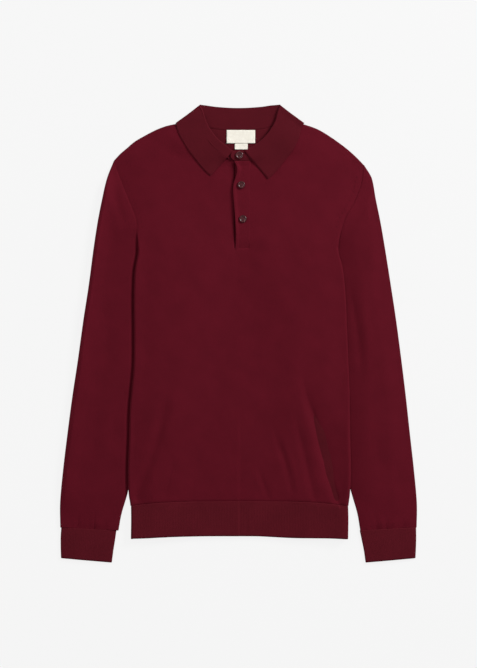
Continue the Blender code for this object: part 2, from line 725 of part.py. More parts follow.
def build_collar(finish):
    """The turn-down collar: stand and fall in one piece, folded along its fold line."""
    left, right = collar_side("left"), collar_side("right")
    grid = np.concatenate([left, right[::-1][1:]])
    keep = np.ones((grid.shape[0] - 1, grid.shape[1] - 1), bool)
    keep[-1, :STAND_CELLS] = False
    wall("collar", grid, COLLAR_CLOTH, finish, keep)


# ---------------------------------------------------------------- placket, buttons, labels


def strip(name, rows, height, thickness, finish):
    """A flat strip of cloth: rows of (x, y) points, each raised by height(x, y)."""
    grid = [[(x, y, float(height(x, y))) for x, y in row] for row in rows]
    wall(name, grid, thickness, finish)


def build_placket(knit, rib):
    """The upper band, the underlap in the slot below it, and the neckband's rounded end."""
    levels = np.linspace(NECK_SEAM - SEAM, BAND_FOOT, 15)
    rows = []
    for y in levels[::-1]:
        edge = float(read(BAND_EDGE, y, "x"))
        rows.append([(x, y) for x in np.linspace(edge, BAND_RIGHT, 5)])
    strip("placket_band", rows, band_height, KNIT, knit)

    levels = np.linspace(FOLD_TOP + 2 * SEAM, UNDERLAP_TOP, 9)
    across = np.linspace(SLOT_LEFT + UNDERLAP_SIDE, SLOT_RIGHT - UNDERLAP_SIDE, 3)
    rows = [[(x, y) for x in across] for y in levels]
    strip("placket_underlap", rows, underlap_height, KNIT, knit)

    columns = []
    for t in np.linspace(0, 1, 9):
        x = TAB_LEFT + (TAB_RIGHT - TAB_LEFT) * t**1.4
        rounding = 1 - np.sqrt(max(0.0, 1 - (1 - min((x - TAB_LEFT) / TAB_ROUND, 1)) ** 2))
        top = TAB_TOP - rounding * TAB_ROUND * 0.8 - TAB_SLOPE * max(0.0, x - TAB_SLOPE_START)
        foot = NECK_SEAM + SEAM + rounding * TAB_ROUND * 0.35
        columns.append([(x, foot + (top - foot) * s) for s in (0, 0.5, 1)])
    rows = [[column[k] for column in columns] for k in range(3)]
    strip("neckband_tab", rows, tab_height, COLLAR_CLOTH, rib)


def band_height(x, y):
    """Middle of the upper placket band, whose free edge curls up a little."""
    curl = BAND_CURL * smooth((SLOT_LEFT + 5.0 - x) / 8.0 + 0.4)
    return on_front(max(x, SLOT_LEFT), y, KNIT) + curl


def underlap_height(x, y):
    """Middle of the underlap, level with the front panel."""
    return front_height(x, min(y, NECK_SEAM))


def tab_height(x, y):
    """Middle of the neckband's rounded end."""
    return on_front(x, min(y, NECK_SEAM + 6.0), COLLAR_CLOTH)


def turned(name, outline, centre, segments, finish, holes=None):
    """A turned piece on a vertical axis. outline holds (radius, height) pairs, foot first."""
    mesh = bpy.data.meshes.new(name)
    shape = bmesh.new()
    rings = []
    angles = [2 * pi * k / segments for k in range(segments)]
    for radius, height in outline:
        points = [(radius * cos(a) * MM, radius * sin(a) * MM, height * MM) for a in angles]
        rings.append([shape.verts.new(point) for point in points])
    for low, high in zip(rings, rings[1:]):
        for k in range(segments):
            shape.faces.new((low[k], low[(k + 1) % segments], high[(k + 1) % segments], high[k]))
    shape.faces.new(rings[0][::-1])
    shape.faces.new(rings[-1])
    bmesh.ops.recalc_face_normals(shape, faces=shape.faces)
    shape.to_mesh(mesh)
    shape.free()
    made = add_object(name, mesh, finish, angle=35)
    made.location = (np.array(centre) - [FOOTPRINT_X, FOOTPRINT_Y, 0]) * MM
    if holes:
        cut = made.modifiers.new("thread holes", "BOOLEAN")
        cut.operation = "DIFFERENCE"
        cut.object = holes
    return made


def build_buttons(finish):
    """Three four-hole buttons with a raised rim."""
    for name, (x, y) in BUTTONS.items():
        under = tab_height(x, y) + COLLAR_CLOTH / 2 if y > NECK_SEAM else band_height(x, y) + KNIT / 2
        height = float(under) + BUTTON_SHANK
        holes = button_holes(name, x, y, height)
        turned(name, BUTTON_OUTLINE, (x, y, height), 18, finish, holes)


def button_holes(name, x, y, height):
    """The cutter for a button's four thread holes."""
    cutter = bpy.data.meshes.new(name + "_holes")
    shape = bmesh.new()
    for k in range(4):
        angle = pi / 4 + k * pi / 2
        place = Matrix.Translation((HOLE_CIRCLE * cos(angle) * MM, HOLE_CIRCLE * sin(angle) * MM, 0.0))
        bmesh.ops.create_cone(shape, cap_ends=True, segments=6, radius1=HOLE_RADIUS * MM,
                              radius2=HOLE_RADIUS * MM, depth=12 * MM, matrix=place)
    shape.to_mesh(cutter)
    shape.free()
    made = bpy.data.objects.new(name + "_holes", cutter)
    bpy.context.collection.objects.link(made)
    made.location = (np.array([x, y, height]) - [FOOTPRINT_X, FOOTPRINT_Y, 0]) * MM
    made.hide_render = True
    made.display_type = "WIRE"
    return made


def build_labels(finish):
    """The bare neck label and the small tab under it, on the inside of the back."""
    for name, (left, right, foot, top) in LABELS.items():
        rows = [[(x, y) for x in np.linspace(left, right, 5)] for y in np.linspace(foot, top, 4)]
        strip(name, rows, label_height, LABEL_CLOTH, finish)


def label_height(x, y):
    """Middle of a label that lies on the inside of the back."""
    return back_height(x, y) + KNIT / 2 + SEAM + LABEL_CLOTH / 2


def main():
    """Build every piece."""
    for leftover in list(bpy.data.objects):
        bpy.data.objects.remove(leftover)
    knit = material("knit", CLOTH_COLOUR, 0.9)
    rib = material("rib_knit", RIB_COLOUR, 0.9)
    front_cells = {"lower": 20, "hem": 3, "bend": 5, "tuck": 3}
    back_cells = {"lower": 10, "hem": 3, "bend": 4, "tuck": 3}
    build_panel("front", (6, 5), front_cells, knit, rib)
    build_panel("back", (5, 4), back_cells, knit, rib)
    for side in ("left", "right"):
        build_sleeve(side, knit)
        build_cuff(side, rib)
    build_collar(rib)
    build_placket(knit, rib)
    build_buttons(material("button", BUTTON_COLOUR, 0.3))
    build_labels(material("label", LABEL_COLOUR, 0.7))


main()
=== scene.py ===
"""Looks of a fine-knit polo sweater that lies flat, seen from straight above.

Cloth is a thin closed shell around a fine grid of middle points. Lengths are millimetres, and
become metres where a mesh is made. "Left" and "right" are as seen from above, neck at the top.
"""
from math import cos, pi, radians, sin

import bmesh
import bpy
import numpy as np
from mathutils import Matrix, Vector


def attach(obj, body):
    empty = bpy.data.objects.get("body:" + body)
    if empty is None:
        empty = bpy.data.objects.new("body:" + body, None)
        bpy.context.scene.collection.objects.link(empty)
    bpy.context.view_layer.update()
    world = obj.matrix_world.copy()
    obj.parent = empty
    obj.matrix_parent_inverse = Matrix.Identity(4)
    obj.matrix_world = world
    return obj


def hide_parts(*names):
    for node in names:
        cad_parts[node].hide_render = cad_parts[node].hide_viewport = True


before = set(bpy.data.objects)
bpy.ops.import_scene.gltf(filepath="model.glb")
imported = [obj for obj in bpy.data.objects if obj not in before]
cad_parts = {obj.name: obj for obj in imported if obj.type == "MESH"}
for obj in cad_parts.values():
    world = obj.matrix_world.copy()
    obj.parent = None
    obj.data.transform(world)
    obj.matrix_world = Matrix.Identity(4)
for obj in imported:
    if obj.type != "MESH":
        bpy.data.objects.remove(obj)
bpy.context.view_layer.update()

MM = 0.001

# Cloth walls and the room between them.
KNIT = 0.95
RIB = 1.4
COLLAR_CLOTH = 1.0
LABEL_CLOTH = 0.7
SEAM = 0.3
LAYER = KNIT + SEAM

# Middle of the whole footprint, in the measures of the tables.
FOOTPRINT = np.array([-0.5, -0.7, 0.0])

SIGN = {"left": -1, "right": 1}

# Levels down the body. The hem's seam lies lower by HEM_SEAM_CORNER at its corners.
NECK_SEAM = 283.9
FOLD_TOP = 140.0
HEM_SEAM = -278.0
HEM_SEAM_CORNER = 8.0
HEM_CORNER = 180.0

# The part of each side that is folded under the body, and the folded edge itself.
TUCK_AT_CHEST = 82.0
TUCK_AT_HEM = 55.0
TUCK_DROP = 33.0
FOLD_HALF_WIDTH = 163.5
LIFT_RUN = 45.0
LIFT_RISE = 50.0
SLEEVE_LIFT_MARGIN = 20.0
TUCK_LIFT_MARGIN = 4.0
BEND_INSET = 4.5
NESTING = 0.8
BEND_SQUARENESS = {"left": 1.0, "right": 0.3}

# Heights that the cloth stands up by itself, and the distances over which it does so.
SIDE_FULLNESS = 0.3
BODY_FULLNESS = 2.1
WAIST_FULLNESS = 1.3
WAIST_TOP = -40.0
WAIST_RUN = 90.0
SIDE_RUN = 44.0
SHOULDER_RUN = 35.0
BACK_SPRING = 0.4
FRONT_SPRING = {"left": 0.9, "right": 0.0}
LOW_RIGHT_RISE = 2.8
LOW_RIGHT_REACH = 26.0
LOW_RIGHT_TOP = -105.0
LOW_RIGHT_RUN = 75.0
LOW_RIGHT_SLACK = 0.6
LOW_SIDE_RUN = 60.0
SPRING_REACH = 15.0
SPRING_TOP = FOLD_TOP + 28.0
SPRING_FADE = 36.0
FOLD_RUN = 14.0
FRONT_LIFT_RUN = 85.0
FRONT_LIFT_RISE = 130.0
BAND_SWELL = LAYER - 0.15
BAND_SWELL_REACH = 60.0
BAND_TILT = 0.03
SLEEVE_FULLNESS = {"left": 2.8, "right": 3.4}
SLEEVE_RUN = 34.0
CUFF_FULLNESS = 1.4

# Placket, neckband end, buttons and labels.
SLOT_LEFT = -7.0
SLOT_RIGHT = 17.0
BAND_FOOT = 134.0
BAND_RIGHT = 20.0
BAND_END = 22.0
BAND_SWELL_NECK_FADE = 14.0
BAND_FOOT_SUNK = 0.35
BAND_CURL_RUN = 9.0
BAND_CURL_FOOT = 143.0
BAND_SEAM_DIP = 0.5
BAND_SEAM_RUN = 1.8
UNDERLAP_SIDE = 0.8
UNDERLAP_TOP = 299.0
UNDERLAP_DIP = 1.5
UNDERLAP_DIP_RIGHT = 5.0
UNDERLAP_DIP_RUN = 8.0
UNDERLAP_DIP_TOP = 166.0
UNDERLAP_DIP_FALL = 18.0
TAB_LEFT = -12.8
TAB_RIGHT = 25.0
TAB_TOP = 300.9
TAB_SLOPE = 0.75
TAB_SLOPE_START = 6.0
TAB_ROUND = 8.4
TAB_RAISE = 1.9
TAB_RAISE_RIGHT = -3.0
TAB_RAISE_RUN = 9.0
TAB_ABOVE_SEAM = 6.0
TAB_TOP_CORNER = 8.3
TAB_FOOT_CORNER = 8.0
BUTTON_SHANK = 0.5
LABELS = {"neck_label": (-19.3, 27.2, 313.4, 334.9), "size_tab": (-5.9, 15.0, 303.2, 312.6)}
BUTTONS = {"button_1": (1.6, 293.2), "button_2": (4.8, 244.5), "button_3": (7.4, 188.3)}


def table(columns, *rows):
    """One array for each named column of a short table."""
    return dict(zip(columns.split(), np.array(rows, float).T))


# Half width of what shows of the body: armhole seam down to FOLD_TOP, folded edge below it.
SIDE = table(
    "y left right",
    (290, 206.5, 210.0),
    (276, 203.0, 207.0),
    (250, 193.5, 203.5),
    (216, 180.0, 191.0),
    (194, 171.2, 178.5),
    (166, 167.2, 169.0),
    (140, 165.0, 164.5),
    (104, 170.6, 172.5),
    (76, 172.0, 175.5),
    (-12, 172.0, 179.8),
    (-60, 172.8, 181.9),
    (-92, 176.0, 183.2),
    (-125, 179.0, 183.6),
    (-163, 180.0, 184.0),
    (-257, 181.6, 184.4),
    (-268, 181.0, 183.6),
    (-280, 179.0, 182.0),
    (-290, 177.6, 180.8),
)

# Foot edge of the hem.
HEM_FOOT = table(
    "x y",
    (-185, -338.6),
    (-147, -337.7),
    (-130, -336.8),
    (-97, -335.8),
    (0, -335.1),
    (36, -335.4),
    (60, -336.6),
    (85, -337.8),
    (125, -338.3),
    (151, -338.5),
    (185, -339.8),
)

# Half width of the ribbed hem.
HEM_SIDE = table("y left right", (-278, 177.6, 180.5), (-300, 177.2, 181.2), (-342, 177.6, 180.8))

# Shoulder line from its outer corner to the side of the neck.
SHOULDER = table(
    "left_x left_y right_x right_y",
    (205.4, 284.6, 207.0, 277.0),
    (195.5, 295.3, 198.5, 286.0),
    (184.0, 305.2, 188.9, 295.3),
    (172.4, 315.1, 177.4, 305.2),
    (155.9, 325.0, 164.2, 315.1),
    (134.5, 335.8, 149.3, 325.4),
    (118.0, 341.7, 131.2, 335.8),
    (103.0, 345.0, 106.0, 344.7),
    (72.0, 353.5, 72.0, 353.5),
)

# Neck edge of each panel, from the side of the neck to the middle.
NECK = table(
    "x front back",
    (72.0, 353.5, 353.5),
    (66.0, 341.0, 347.0),
    (54.0, 322.0, 341.5),
    (38.0, 303.5, 337.5),
    (20.0, 289.0, 335.6),
    (0.0, 284.0, 335.0),
)

# Sleeves: outer edge and inner edge of each cross section, from armhole to cuff seam.
# The last columns move the left sleeve's points to the right sleeve's, and say how much of the
# armhole's curve the section keeps.
SLEEVE = table(
    "outer_x outer_y inner_x inner_y right_outer right_inner curve",
    (205.9, 284.4, 80.0, 101.0, 1.5, 0.0, 1.0),
    (216.8, 256.0, 88.0, 86.0, 3.2, 0.0, 0.84),
    (225.0, 221.0, 96.0, 68.0, 1.7, 0.0, 0.64),
    (232.6, 182.0, 105.0, 45.0, 2.1, 0.0, 0.45),
    (239.6, 136.0, 115.5, 14.0, 3.0, 0.0, 0.28),
    (247.0, 80.0, 126.5, -26.0, 4.5, 0.0, 0.14),
    (255.9, 22.0, 138.0, -76.0, 4.4, 0.0, 0.05),
    (264.8, -42.0, 150.0, -128.0, 4.0, 0.0, 0.0),
    (274.2, -104.0, 161.5, -176.0, 2.2, 0.6, 0.0),
    (282.4, -166.0, 173.0, -222.0, 0.8, 1.6, 0.0),
    (289.6, -226.0, 183.6, -266.0, 0.3, 3.4, 0.0),
    (294.6, -280.0, 193.0, -298.0, 0.1, 3.2, 0.0),
    (294.4, -321.0, 198.2, -325.9, 0.0, 2.8, 0.0),
)

# The right shoulder's outer corner lies lower than the left one's by this much.
RIGHT_CORNER_DROP = -6.9

# Front of the armhole seam where it lies under the body, down to the underarm point.
UNDER_ARM = table("x y", (160.5, 130.5), (139.0, 118.0), (112.0, 108.0), (80.0, 101.0))

CUFF = table(
    "outer_x outer_y inner_x inner_y right_outer right_inner",
    (292.2, -321.2, 202.4, -326.2, 0.6, -1.4),
    (293.2, -337.0, 204.6, -341.5, -0.2, -0.4),
    (293.2, -354.0, 207.4, -359.0, -0.6, 0.4),
    (292.6, -371.6, 210.0, -378.8, -0.8, 0.6),
)

# Collar, by side: where the neck seam, the fold line and the free edge lie at each section.
# turn is 90 where the fall lies over the stand and -90 where it lies under it. The outer
# corner has one fold point and one edge point, with a seam point for each step of its turn.
COLLAR_FRONT = {
    "left": table(
        "seam_x seam_y fold_x fold_y edge_x edge_y turn",
        (13.0, 285.2, 9.0, 300.4, 46.2, 259.8, 90),
        (27.0, 294.6, 22.5, 311.0, 58.5, 271.5, 90),
        (41.5, 307.4, 35.5, 322.0, 72.0, 288.2, 88),
        (56.0, 325.4, 46.5, 336.5, 84.5, 305.0, 82),
        (67.0, 343.6, 54.5, 352.5, 95.0, 322.5, 66),
        (72.2, 352.6, 59.5, 367.0, 101.2, 337.6, 38),
    ),
    "right": table(
        "seam_x seam_y fold_x fold_y edge_x edge_y turn",
        (14.0, 285.8, 9.5, 300.6, 48.7, 254.3, 90),
        (28.0, 295.4, 24.0, 308.6, 63.0, 268.6, 90),
        (42.0, 307.8, 38.5, 319.5, 77.5, 286.6, 88),
        (56.5, 326.0, 52.0, 335.0, 90.5, 304.0, 82),
        (67.5, 344.0, 61.0, 351.0, 99.6, 323.0, 66),
        (72.2, 352.6, 65.5, 367.0, 103.2, 338.0, 38),
    ),
}
# Fold and edge of the collar's outer corners.
COLLAR_CORNER = {"left": (64.3, 374.6, 103.6, 347.0), "right": (69.0, 374.6, 108.0, 347.2)}
COLLAR_BACK = table(
    "seam_x seam_y fold_x fold_y edge_x edge_y turn",
    (61.0, 343.6, 55.0, 373.2, 82.0, 330.0, -80),
    (45.0, 337.8, 40.0, 370.9, 62.0, 317.0, -90),
    (23.0, 334.6, 20.0, 369.2, 32.0, 307.5, -90),
    (0.0, 333.8, 0.0, 368.6, 0.0, 304.0, -90),
)
CORNER_SEAM = table(
    "x y turn",
    (73.4, 353.4, 28),
    (73.0, 354.6, 14),
    (71.8, 354.6, 0),
    (70.0, 352.6, -20),
    (67.0, 348.8, -48),
)
CORNER_TURNS = (68, 35, 0, -35, -68)

# Collar's stand and fold: how far the stand stands off the seam at the front and sinks at the
# back, the room over it, the crown of the fall, and the radius and height of the fold.
STAND_CLEARANCE = 0.72
STAND_SUNK = -0.88
STAND_ROOM = 2.0
STAND_CELLS = 3
STAND_SHARE = 0.5
STAND_RUN = 0.22
FALL_RUN = 0.34
FALL_SHARES = (0, 0.12, 0.26, 0.42, 0.6, 0.8, 1)
FALL_CROWN = 0.2
FOLD_RADIUS = 1.3
CORNER_RADIUS = 3.1
FRONT_FOLD_HEIGHT = {"left": 6.8, "right": 7.6}
BACK_FOLD_HEIGHT = 2.05
CORNER_HEIGHT = 3.85
COLLAR_LIFT = 2.4
COLLAR_MIDDLE = 342.0
COLLAR_HALF = (106.0, 45.0)
COLLAR_LIFT_REACH = 1.5
COLLAR_LIFT_FADE = 0.42

# Free edge of the upper placket band, which waves between the first two buttons, and how far
# it curls up there.
BAND_EDGE = table(
    "y x curl",
    (284, -6.9, 1.2),
    (272, -2.1, 2.6),
    (258, -4.2, 1.9),
    (249, -7.2, 1.2),
    (241, -8.5, 1.0),
    (216, -7.3, 1.2),
    (190, -5.4, 1.6),
    (168, -4.1, 1.1),
    (153, -4.0, 0.3),
    (141, -4.8, 0.1),
    (134, -5.3, 0.0),
)

# Folds: middle line (x, y), half width, height, and how much of the height is there at the
# line's start and end. A negative height is a trough.
BODY_FOLDS = (
    ([(101, -130), (114, -176), (124, -214), (134, -258)], 7.0, 0.5, 0, 0.7),
    ([(56, -150), (66, -182), (76, -210), (88, -259)], 5.5, -1.3, 0, 0.8),
    ([(70, -168), (86, -212), (99, -258)], 7.0, 0.5, 0, 0.6),
    ([(30, -215), (40, -246), (50, -272)], 5.0, -0.9, 0, 0.8),
    ([(116, -105), (132, -160), (145, -210), (158, -259), (163, -274)], 2.6, -2.2, 0, 0.7),
    ([(-110, -70), (-116, -100), (-127, -146), (-142, -200), (-157, -240), (-168, -271)],
     8.5, -3.1, 0, 0.9),
    ([(-104, -190), (-112, -232), (-121, -264)], 5.5, -0.8, 0, 0.8),
    ([(-172, -110), (-173, -160), (-175, -230)], 4.0, -0.7, 0, 0),
    ([(-148, 8), (-152, -30), (-150, -70)], 9.0, -0.4, 0, 0),
    ([(-62, -200), (-72, -235), (-80, -270)], 7.0, -0.4, 0, 0.7),
    ([(-20, -235), (-24, -270)], 6.0, -0.4, 0, 0.8),
    ([(152, 150), (132, 128), (108, 112)], 8.0, -0.35, 0.3, 0),
    ([(-152, 152), (-134, 134), (-112, 120)], 8.0, -0.35, 0.3, 0),
)
# Sharper folds: middle line, half width of the soft left bank, reach of the steep right bank,
# height, and how much of it is there at the start and the end.
CREASES = (
    ([(98, -45), (104, -62), (115, -110), (131, -160), (144, -210), (157, -259), (162, -274)],
     8.0, 19.0, -4.2, 0, 0.8),
    ([(90, -118), (99, -158), (111, -209), (122, -258), (126, -272)], 7.0, 9.0, -1.9, 0, 0.8),
)
SLEEVE_FOLDS = (
    ([(180, 104), (186, 55), (196, 8), (202, -48), (206, -100)], 7.0, -1.3, 0.2, 0),
    ([(196, 104), (203, 52), (212, 0), (218, -64)], 9.0, 0.6, 0, 0),
    ([(221, 240), (213, 210), (207, 180)], 11.0, 0.9, 0.3, 0),
    ([(226, 120), (232, 60), (240, 0)], 9.0, -0.6, 0, 0),
    ([(222, -150), (232, -205), (238, -250)], 10.0, -0.7, 0, 0),
    ([(255, -190), (264, -240), (268, -285)], 9.0, -0.6, 0, 0),
    ([(-212, 60), (-217, -20), (-226, -90)], 11.0, -0.8, 0, 0),
    ([(-226, -100), (-236, -160), (-242, -220)], 10.0, -0.7, 0, 0),
    ([(-210, 244), (-201, 215), (-193, 190), (-188, 165)], 8.0, -1.5, 0.4, 0),
    ([(-196, -90), (-206, -150), (-214, -210)], 8.0, -0.5, 0, 0),
)
BACK_FOLDS = (
    ([(-70, 90), (-62, 20), (-66, -60)], 9.0, 0.8, 0, 0),
    ([(48, 40), (58, -40), (54, -120)], 8.0, 0.9, 0, 0),
    ([(-34, -120), (-44, -190), (-40, -262)], 8.0, 0.9, 0, 0.7),
    ([(22, -170), (30, -220), (28, -268)], 6.0, 0.7, 0, 0.7),
    ([(82, -150), (92, -210), (96, -262)], 8.0, 0.8, 0, 0.7),
    ([(-92, -180), (-100, -226), (-102, -264)], 7.0, 0.7, 0, 0.7),
    ([(-96, 240), (-60, 214), (-30, 205)], 9.0, 0.6, 0, 0),
    ([(90, 236), (56, 208), (20, 198)], 9.0, 0.6, 0, 0),
)


def smooth(value):
    """0 to 1 with level ends."""
    held = np.clip(value, 0.0, 1.0)
    return held * held * (3.0 - 2.0 * held)


def through(at, knots, values):
    """A smooth curve through values at rising knots, read at each place."""
    knots, values = np.asarray(knots, float), np.asarray(values, float)
    held = np.clip(np.asarray(at, float), knots[0], knots[-1])
    slopes = np.gradient(values, knots, axis=0)
    after = np.clip(np.searchsorted(knots, held, side="right"), 1, len(knots) - 1)
    span = knots[after] - knots[after - 1]
    t = (held - knots[after - 1]) / span
    if values.ndim > 1:
        shape = t.shape + (1,) * (values.ndim - 1)
        t, span = t.reshape(shape), span.reshape(shape)
    first = values[after - 1] * (1 + 2 * t) * (1 - t) ** 2 + slopes[after - 1] * span * t * (1 - t) ** 2
    second = values[after] * (3 - 2 * t) * t**2 + slopes[after] * span * t**2 * (t - 1)
    return first + second


def read(rows, y, column):
    """Value of a column at a level, from a table that runs downwards."""
    return through(-np.asarray(y, float), -rows["y"], rows[column])


def hand(x):
    """Column name for the side of the centre line that a point is on."""
    return np.where(np.asarray(x) < 0, "left", "right")


def by_side(rows, x, y):
    """Value for each point from the column of its own side."""
    return np.where(hand(x) == "left", read(rows, y, "left"), read(rows, y, "right"))


def along(points, shares, curved=True):
    """Points at shares of the length of a line through the given ones."""
    points = np.asarray(points, float)
    lengths = np.r_[0, np.cumsum(np.linalg.norm(np.diff(points, axis=0), axis=1))]
    wanted = np.asarray(shares, float) * lengths[-1]
    if curved:
        return through(wanted, lengths, points)
    return np.column_stack([np.interp(wanted, lengths, axis) for axis in points.T])


# A fold's line is followed at this many points, and rises and falls over these shares of it.
FOLD_POINTS = 15
FOLD_START = 0.45
FOLD_END = 0.35
CREASE_ROUNDING = 1.2


def fold_height(folds, x, y):
    """Sum of the troughs and ridges at each point, soft ones and creases."""
    x, y = np.broadcast_arrays(np.asarray(x, float), np.asarray(y, float))
    total = np.zeros(x.shape)
    for line, half_width, *steep, height, start, end in folds:
        middle = along(line, np.linspace(0, 1, FOLD_POINTS))
        reach = 3 * half_width + 3 * sum(steep)
        low, high = middle.min(0) - reach, middle.max(0) + reach
        near = (x > low[0]) & (x < high[0]) & (y > low[1]) & (y < high[1])
        if not near.any():
            continue
        place = np.column_stack([x[near], y[near]])
        best, share = np.full(len(place), np.inf), np.zeros(len(place))
        to_right = np.zeros(len(place), bool)
        for k in range(len(middle) - 1):
            step = middle[k + 1] - middle[k]
            ahead = place - middle[k]
            t = np.clip(ahead @ step / (step @ step), 0, 1)
            gap = np.linalg.norm(ahead - t[:, None] * step, axis=1)
            closer = gap < best
            best[closer], share[closer] = gap[closer], (k + t[closer]) / (len(middle) - 1)
            to_right[closer] = (step[0] * ahead[:, 1] - step[1] * ahead[:, 0])[closer] > 0
        fade = start + (1 - start) * smooth(share / FOLD_START)
        fade = fade * (end + (1 - end) * smooth((1 - share) / FOLD_END))
        across = (best / half_width) ** 2
        if steep:
            bank = (np.hypot(best, CREASE_ROUNDING) - CREASE_ROUNDING) / steep[0]
            across = np.where(to_right, bank, across)
        total[near] += height * fade * np.exp(-across)
    return total


# Long soft swells that no flat cloth is free of: wavelengths across and along, turn and height.
SWELLS = (
    (61, 97, 0.7, 0.16),
    (38, 73, 2.1, 0.10),
    (83, 45, 4.0, 0.13),
    (24, 52, 1.2, 0.05),
    (17, 29, 5.2, 0.03),
)


def swell(x, y):
    """Slight unevenness of the lying cloth."""
    x, y = np.asarray(x, float), np.asarray(y, float)
    total = 0.0
    for across, down, turn, height in SWELLS:
        wander = 1.3 * np.sin(y / down * 1.7 + turn * 2)
        wave = np.sin(2 * pi * x / across + wander + turn)
        total = total + height * wave * np.cos(2 * pi * y / down + turn)
    return total


# ---------------------------------------------------------------- heights of the layers


def tuck_width(y):
    """How much of the side lies folded under the body."""
    return np.interp(-np.asarray(y, float), [-FOLD_TOP, -HEM_SEAM], [TUCK_AT_CHEST, TUCK_AT_HEM])


def sleeve_inner(y):
    """Half distance between the hidden inner edges of the sleeves."""
    return np.interp(-np.asarray(y, float), -SLEEVE["inner_y"], SLEEVE["inner_x"])


def under_fade(x, y, rise):
    """1 below the top edge of the folded-under side, 0 well above it."""
    inward = np.clip((FOLD_HALF_WIDTH - np.abs(x)) / TUCK_AT_CHEST, 0, 1)
    return smooth((FOLD_TOP - TUCK_DROP * inward + rise - y) / rise)


def sleeve_lift(x, y, run=LIFT_RUN, rise=LIFT_RISE):
    """Height that a sleeve takes up under the body."""
    inner = sleeve_inner(y) - SLEEVE_LIFT_MARGIN
    return 2 * LAYER * smooth((np.abs(x) - inner + run) / run) * under_fade(x, y, rise)


def tuck_lift(x, y, run=LIFT_RUN, rise=LIFT_RISE):
    """Height that the folded-under side takes up under the body."""
    inner = by_side(SIDE, x, y) - tuck_width(y) - TUCK_LIFT_MARGIN
    return 2 * LAYER * smooth((np.abs(x) - inner + run) / run) * under_fade(x, y, rise)


def collar_lift(x, y):
    """Height that the back of the collar takes up under the shoulders."""
    reach = np.hypot(np.asarray(x) / COLLAR_HALF[0], (np.asarray(y) - COLLAR_MIDDLE) / COLLAR_HALF[1])
    return COLLAR_LIFT * smooth((COLLAR_LIFT_REACH - reach) / COLLAR_LIFT_FADE)


def inward_of_side(x, y):
    """Distance from each point out to the folded side edge."""
    return by_side(SIDE, x, y) - np.abs(x)


def edge_spring(x, y):
    """1 at the folded side edge, where the cloth springs up, 0 away from it."""
    near = np.exp(-((inward_of_side(x, y) / SPRING_REACH) ** 2))
    return near * smooth((SPRING_TOP - np.asarray(y)) / SPRING_FADE)


def shoulder_level(x):
    """Height up the body of the shoulder line at each distance from the middle."""
    left, right = (np.interp(-np.abs(x), -SHOULDER[side + "_x"], SHOULDER[side + "_y"]) for side in SIGN)
    return np.where(hand(x) == "left", left, right)


def lying_height(x, y, run=LIFT_RUN, rise=LIFT_RISE):
    """Middle of the back panel's wall before its own creases."""
    lifts = sleeve_lift(x, y, run, rise) + tuck_lift(x, y, run, rise) + collar_lift(x, y)
    return KNIT / 2 + lifts + BACK_SPRING * edge_spring(x, y)


def back_height(x, y):
    """Middle of the back panel's wall."""
    creases = fold_height(BACK_FOLDS, x, y) * smooth(inward_of_side(x, y) / FOLD_RUN)
    return lying_height(x, y) + creases


def front_folds(x, y, unevenness=1.0):
    """Creases and swells of the front, which fade out at its folded sides."""
    folds = fold_height(BODY_FOLDS + CREASES, x, y) + swell(x, y) * unevenness
    return folds * smooth(inward_of_side(x, y) / FOLD_RUN)


def front_base(x, y):
    """Middle of the front panel's wall, level with the underlap at the placket."""
    y = np.asarray(y)
    from_side = inward_of_side(x, y)
    low_right = smooth((LOW_RIGHT_TOP - y) / LOW_RIGHT_RUN) * (np.asarray(x) > 0)
    inward = smooth(from_side / (SIDE_RUN + LOW_SIDE_RUN * low_right))
    below = smooth((shoulder_level(x) - y) / SHOULDER_RUN)
    spring = np.where(hand(x) == "left", FRONT_SPRING["left"], FRONT_SPRING["right"]) * edge_spring(x, y)
    spring = spring + LOW_RIGHT_RISE * np.exp(-((from_side / LOW_RIGHT_REACH) ** 2)) * low_right
    fullness = SIDE_FULLNESS + BODY_FULLNESS * inward * below + spring
    waist = WAIST_FULLNESS * (1 - LOW_RIGHT_SLACK * low_right) * inward
    fullness = fullness + waist * smooth((WAIST_TOP - y) / WAIST_RUN)
    lying = lying_height(x, y, FRONT_LIFT_RUN, FRONT_LIFT_RISE)
    return lying + LAYER + fullness + front_folds(x, y, below)


def front_height(x, y):
    """Middle of the front panel's wall, which swells up to the placket band's right and foot."""
    x, y = np.asarray(x, float), np.asarray(y, float)
    gap = np.maximum(x - SLOT_RIGHT, 0)
    beside = (x > SLOT_RIGHT - 0.5) * smooth((y - BAND_FOOT) / BAND_END)
    beside = beside * smooth((NECK_SEAM - y) / BAND_SWELL_NECK_FADE)
    return front_base(x, y) + BAND_SWELL * np.exp(-((gap / BAND_SWELL_REACH) ** 2)) * beside


# ---------------------------------------------------------------- finishes


def maths(tree, operation, *values):
    """A Math node on sockets or plain numbers."""
    node = tree.nodes.new("ShaderNodeMath")
    node.operation = operation
    for socket, value in zip(node.inputs, values):
        if isinstance(value, (int, float)):
            socket.default_value = value
        else:
            tree.links.new(value, socket)
    return node.outputs[0]


def weighted(tree, *parts):
    """The sum of some sockets, each times its own number."""
    products = [maths(tree, "MULTIPLY", socket, weight) for socket, weight in parts]
    total = products[0]
    for product in products[1:]:
        total = maths(tree, "ADD", total, product)
    return total


def new_material(name, roughness, **inputs):
    """A Principled material with plain values, and its tree and shader."""
    made = bpy.data.materials.new(name)
    made.use_nodes = True
    shader = made.node_tree.nodes["Principled BSDF"]
    shader.inputs["Roughness"].default_value = roughness
    for key, value in inputs.items():
        shader.inputs[key.replace("_", " ")].default_value = value
    return made, made.node_tree, shader


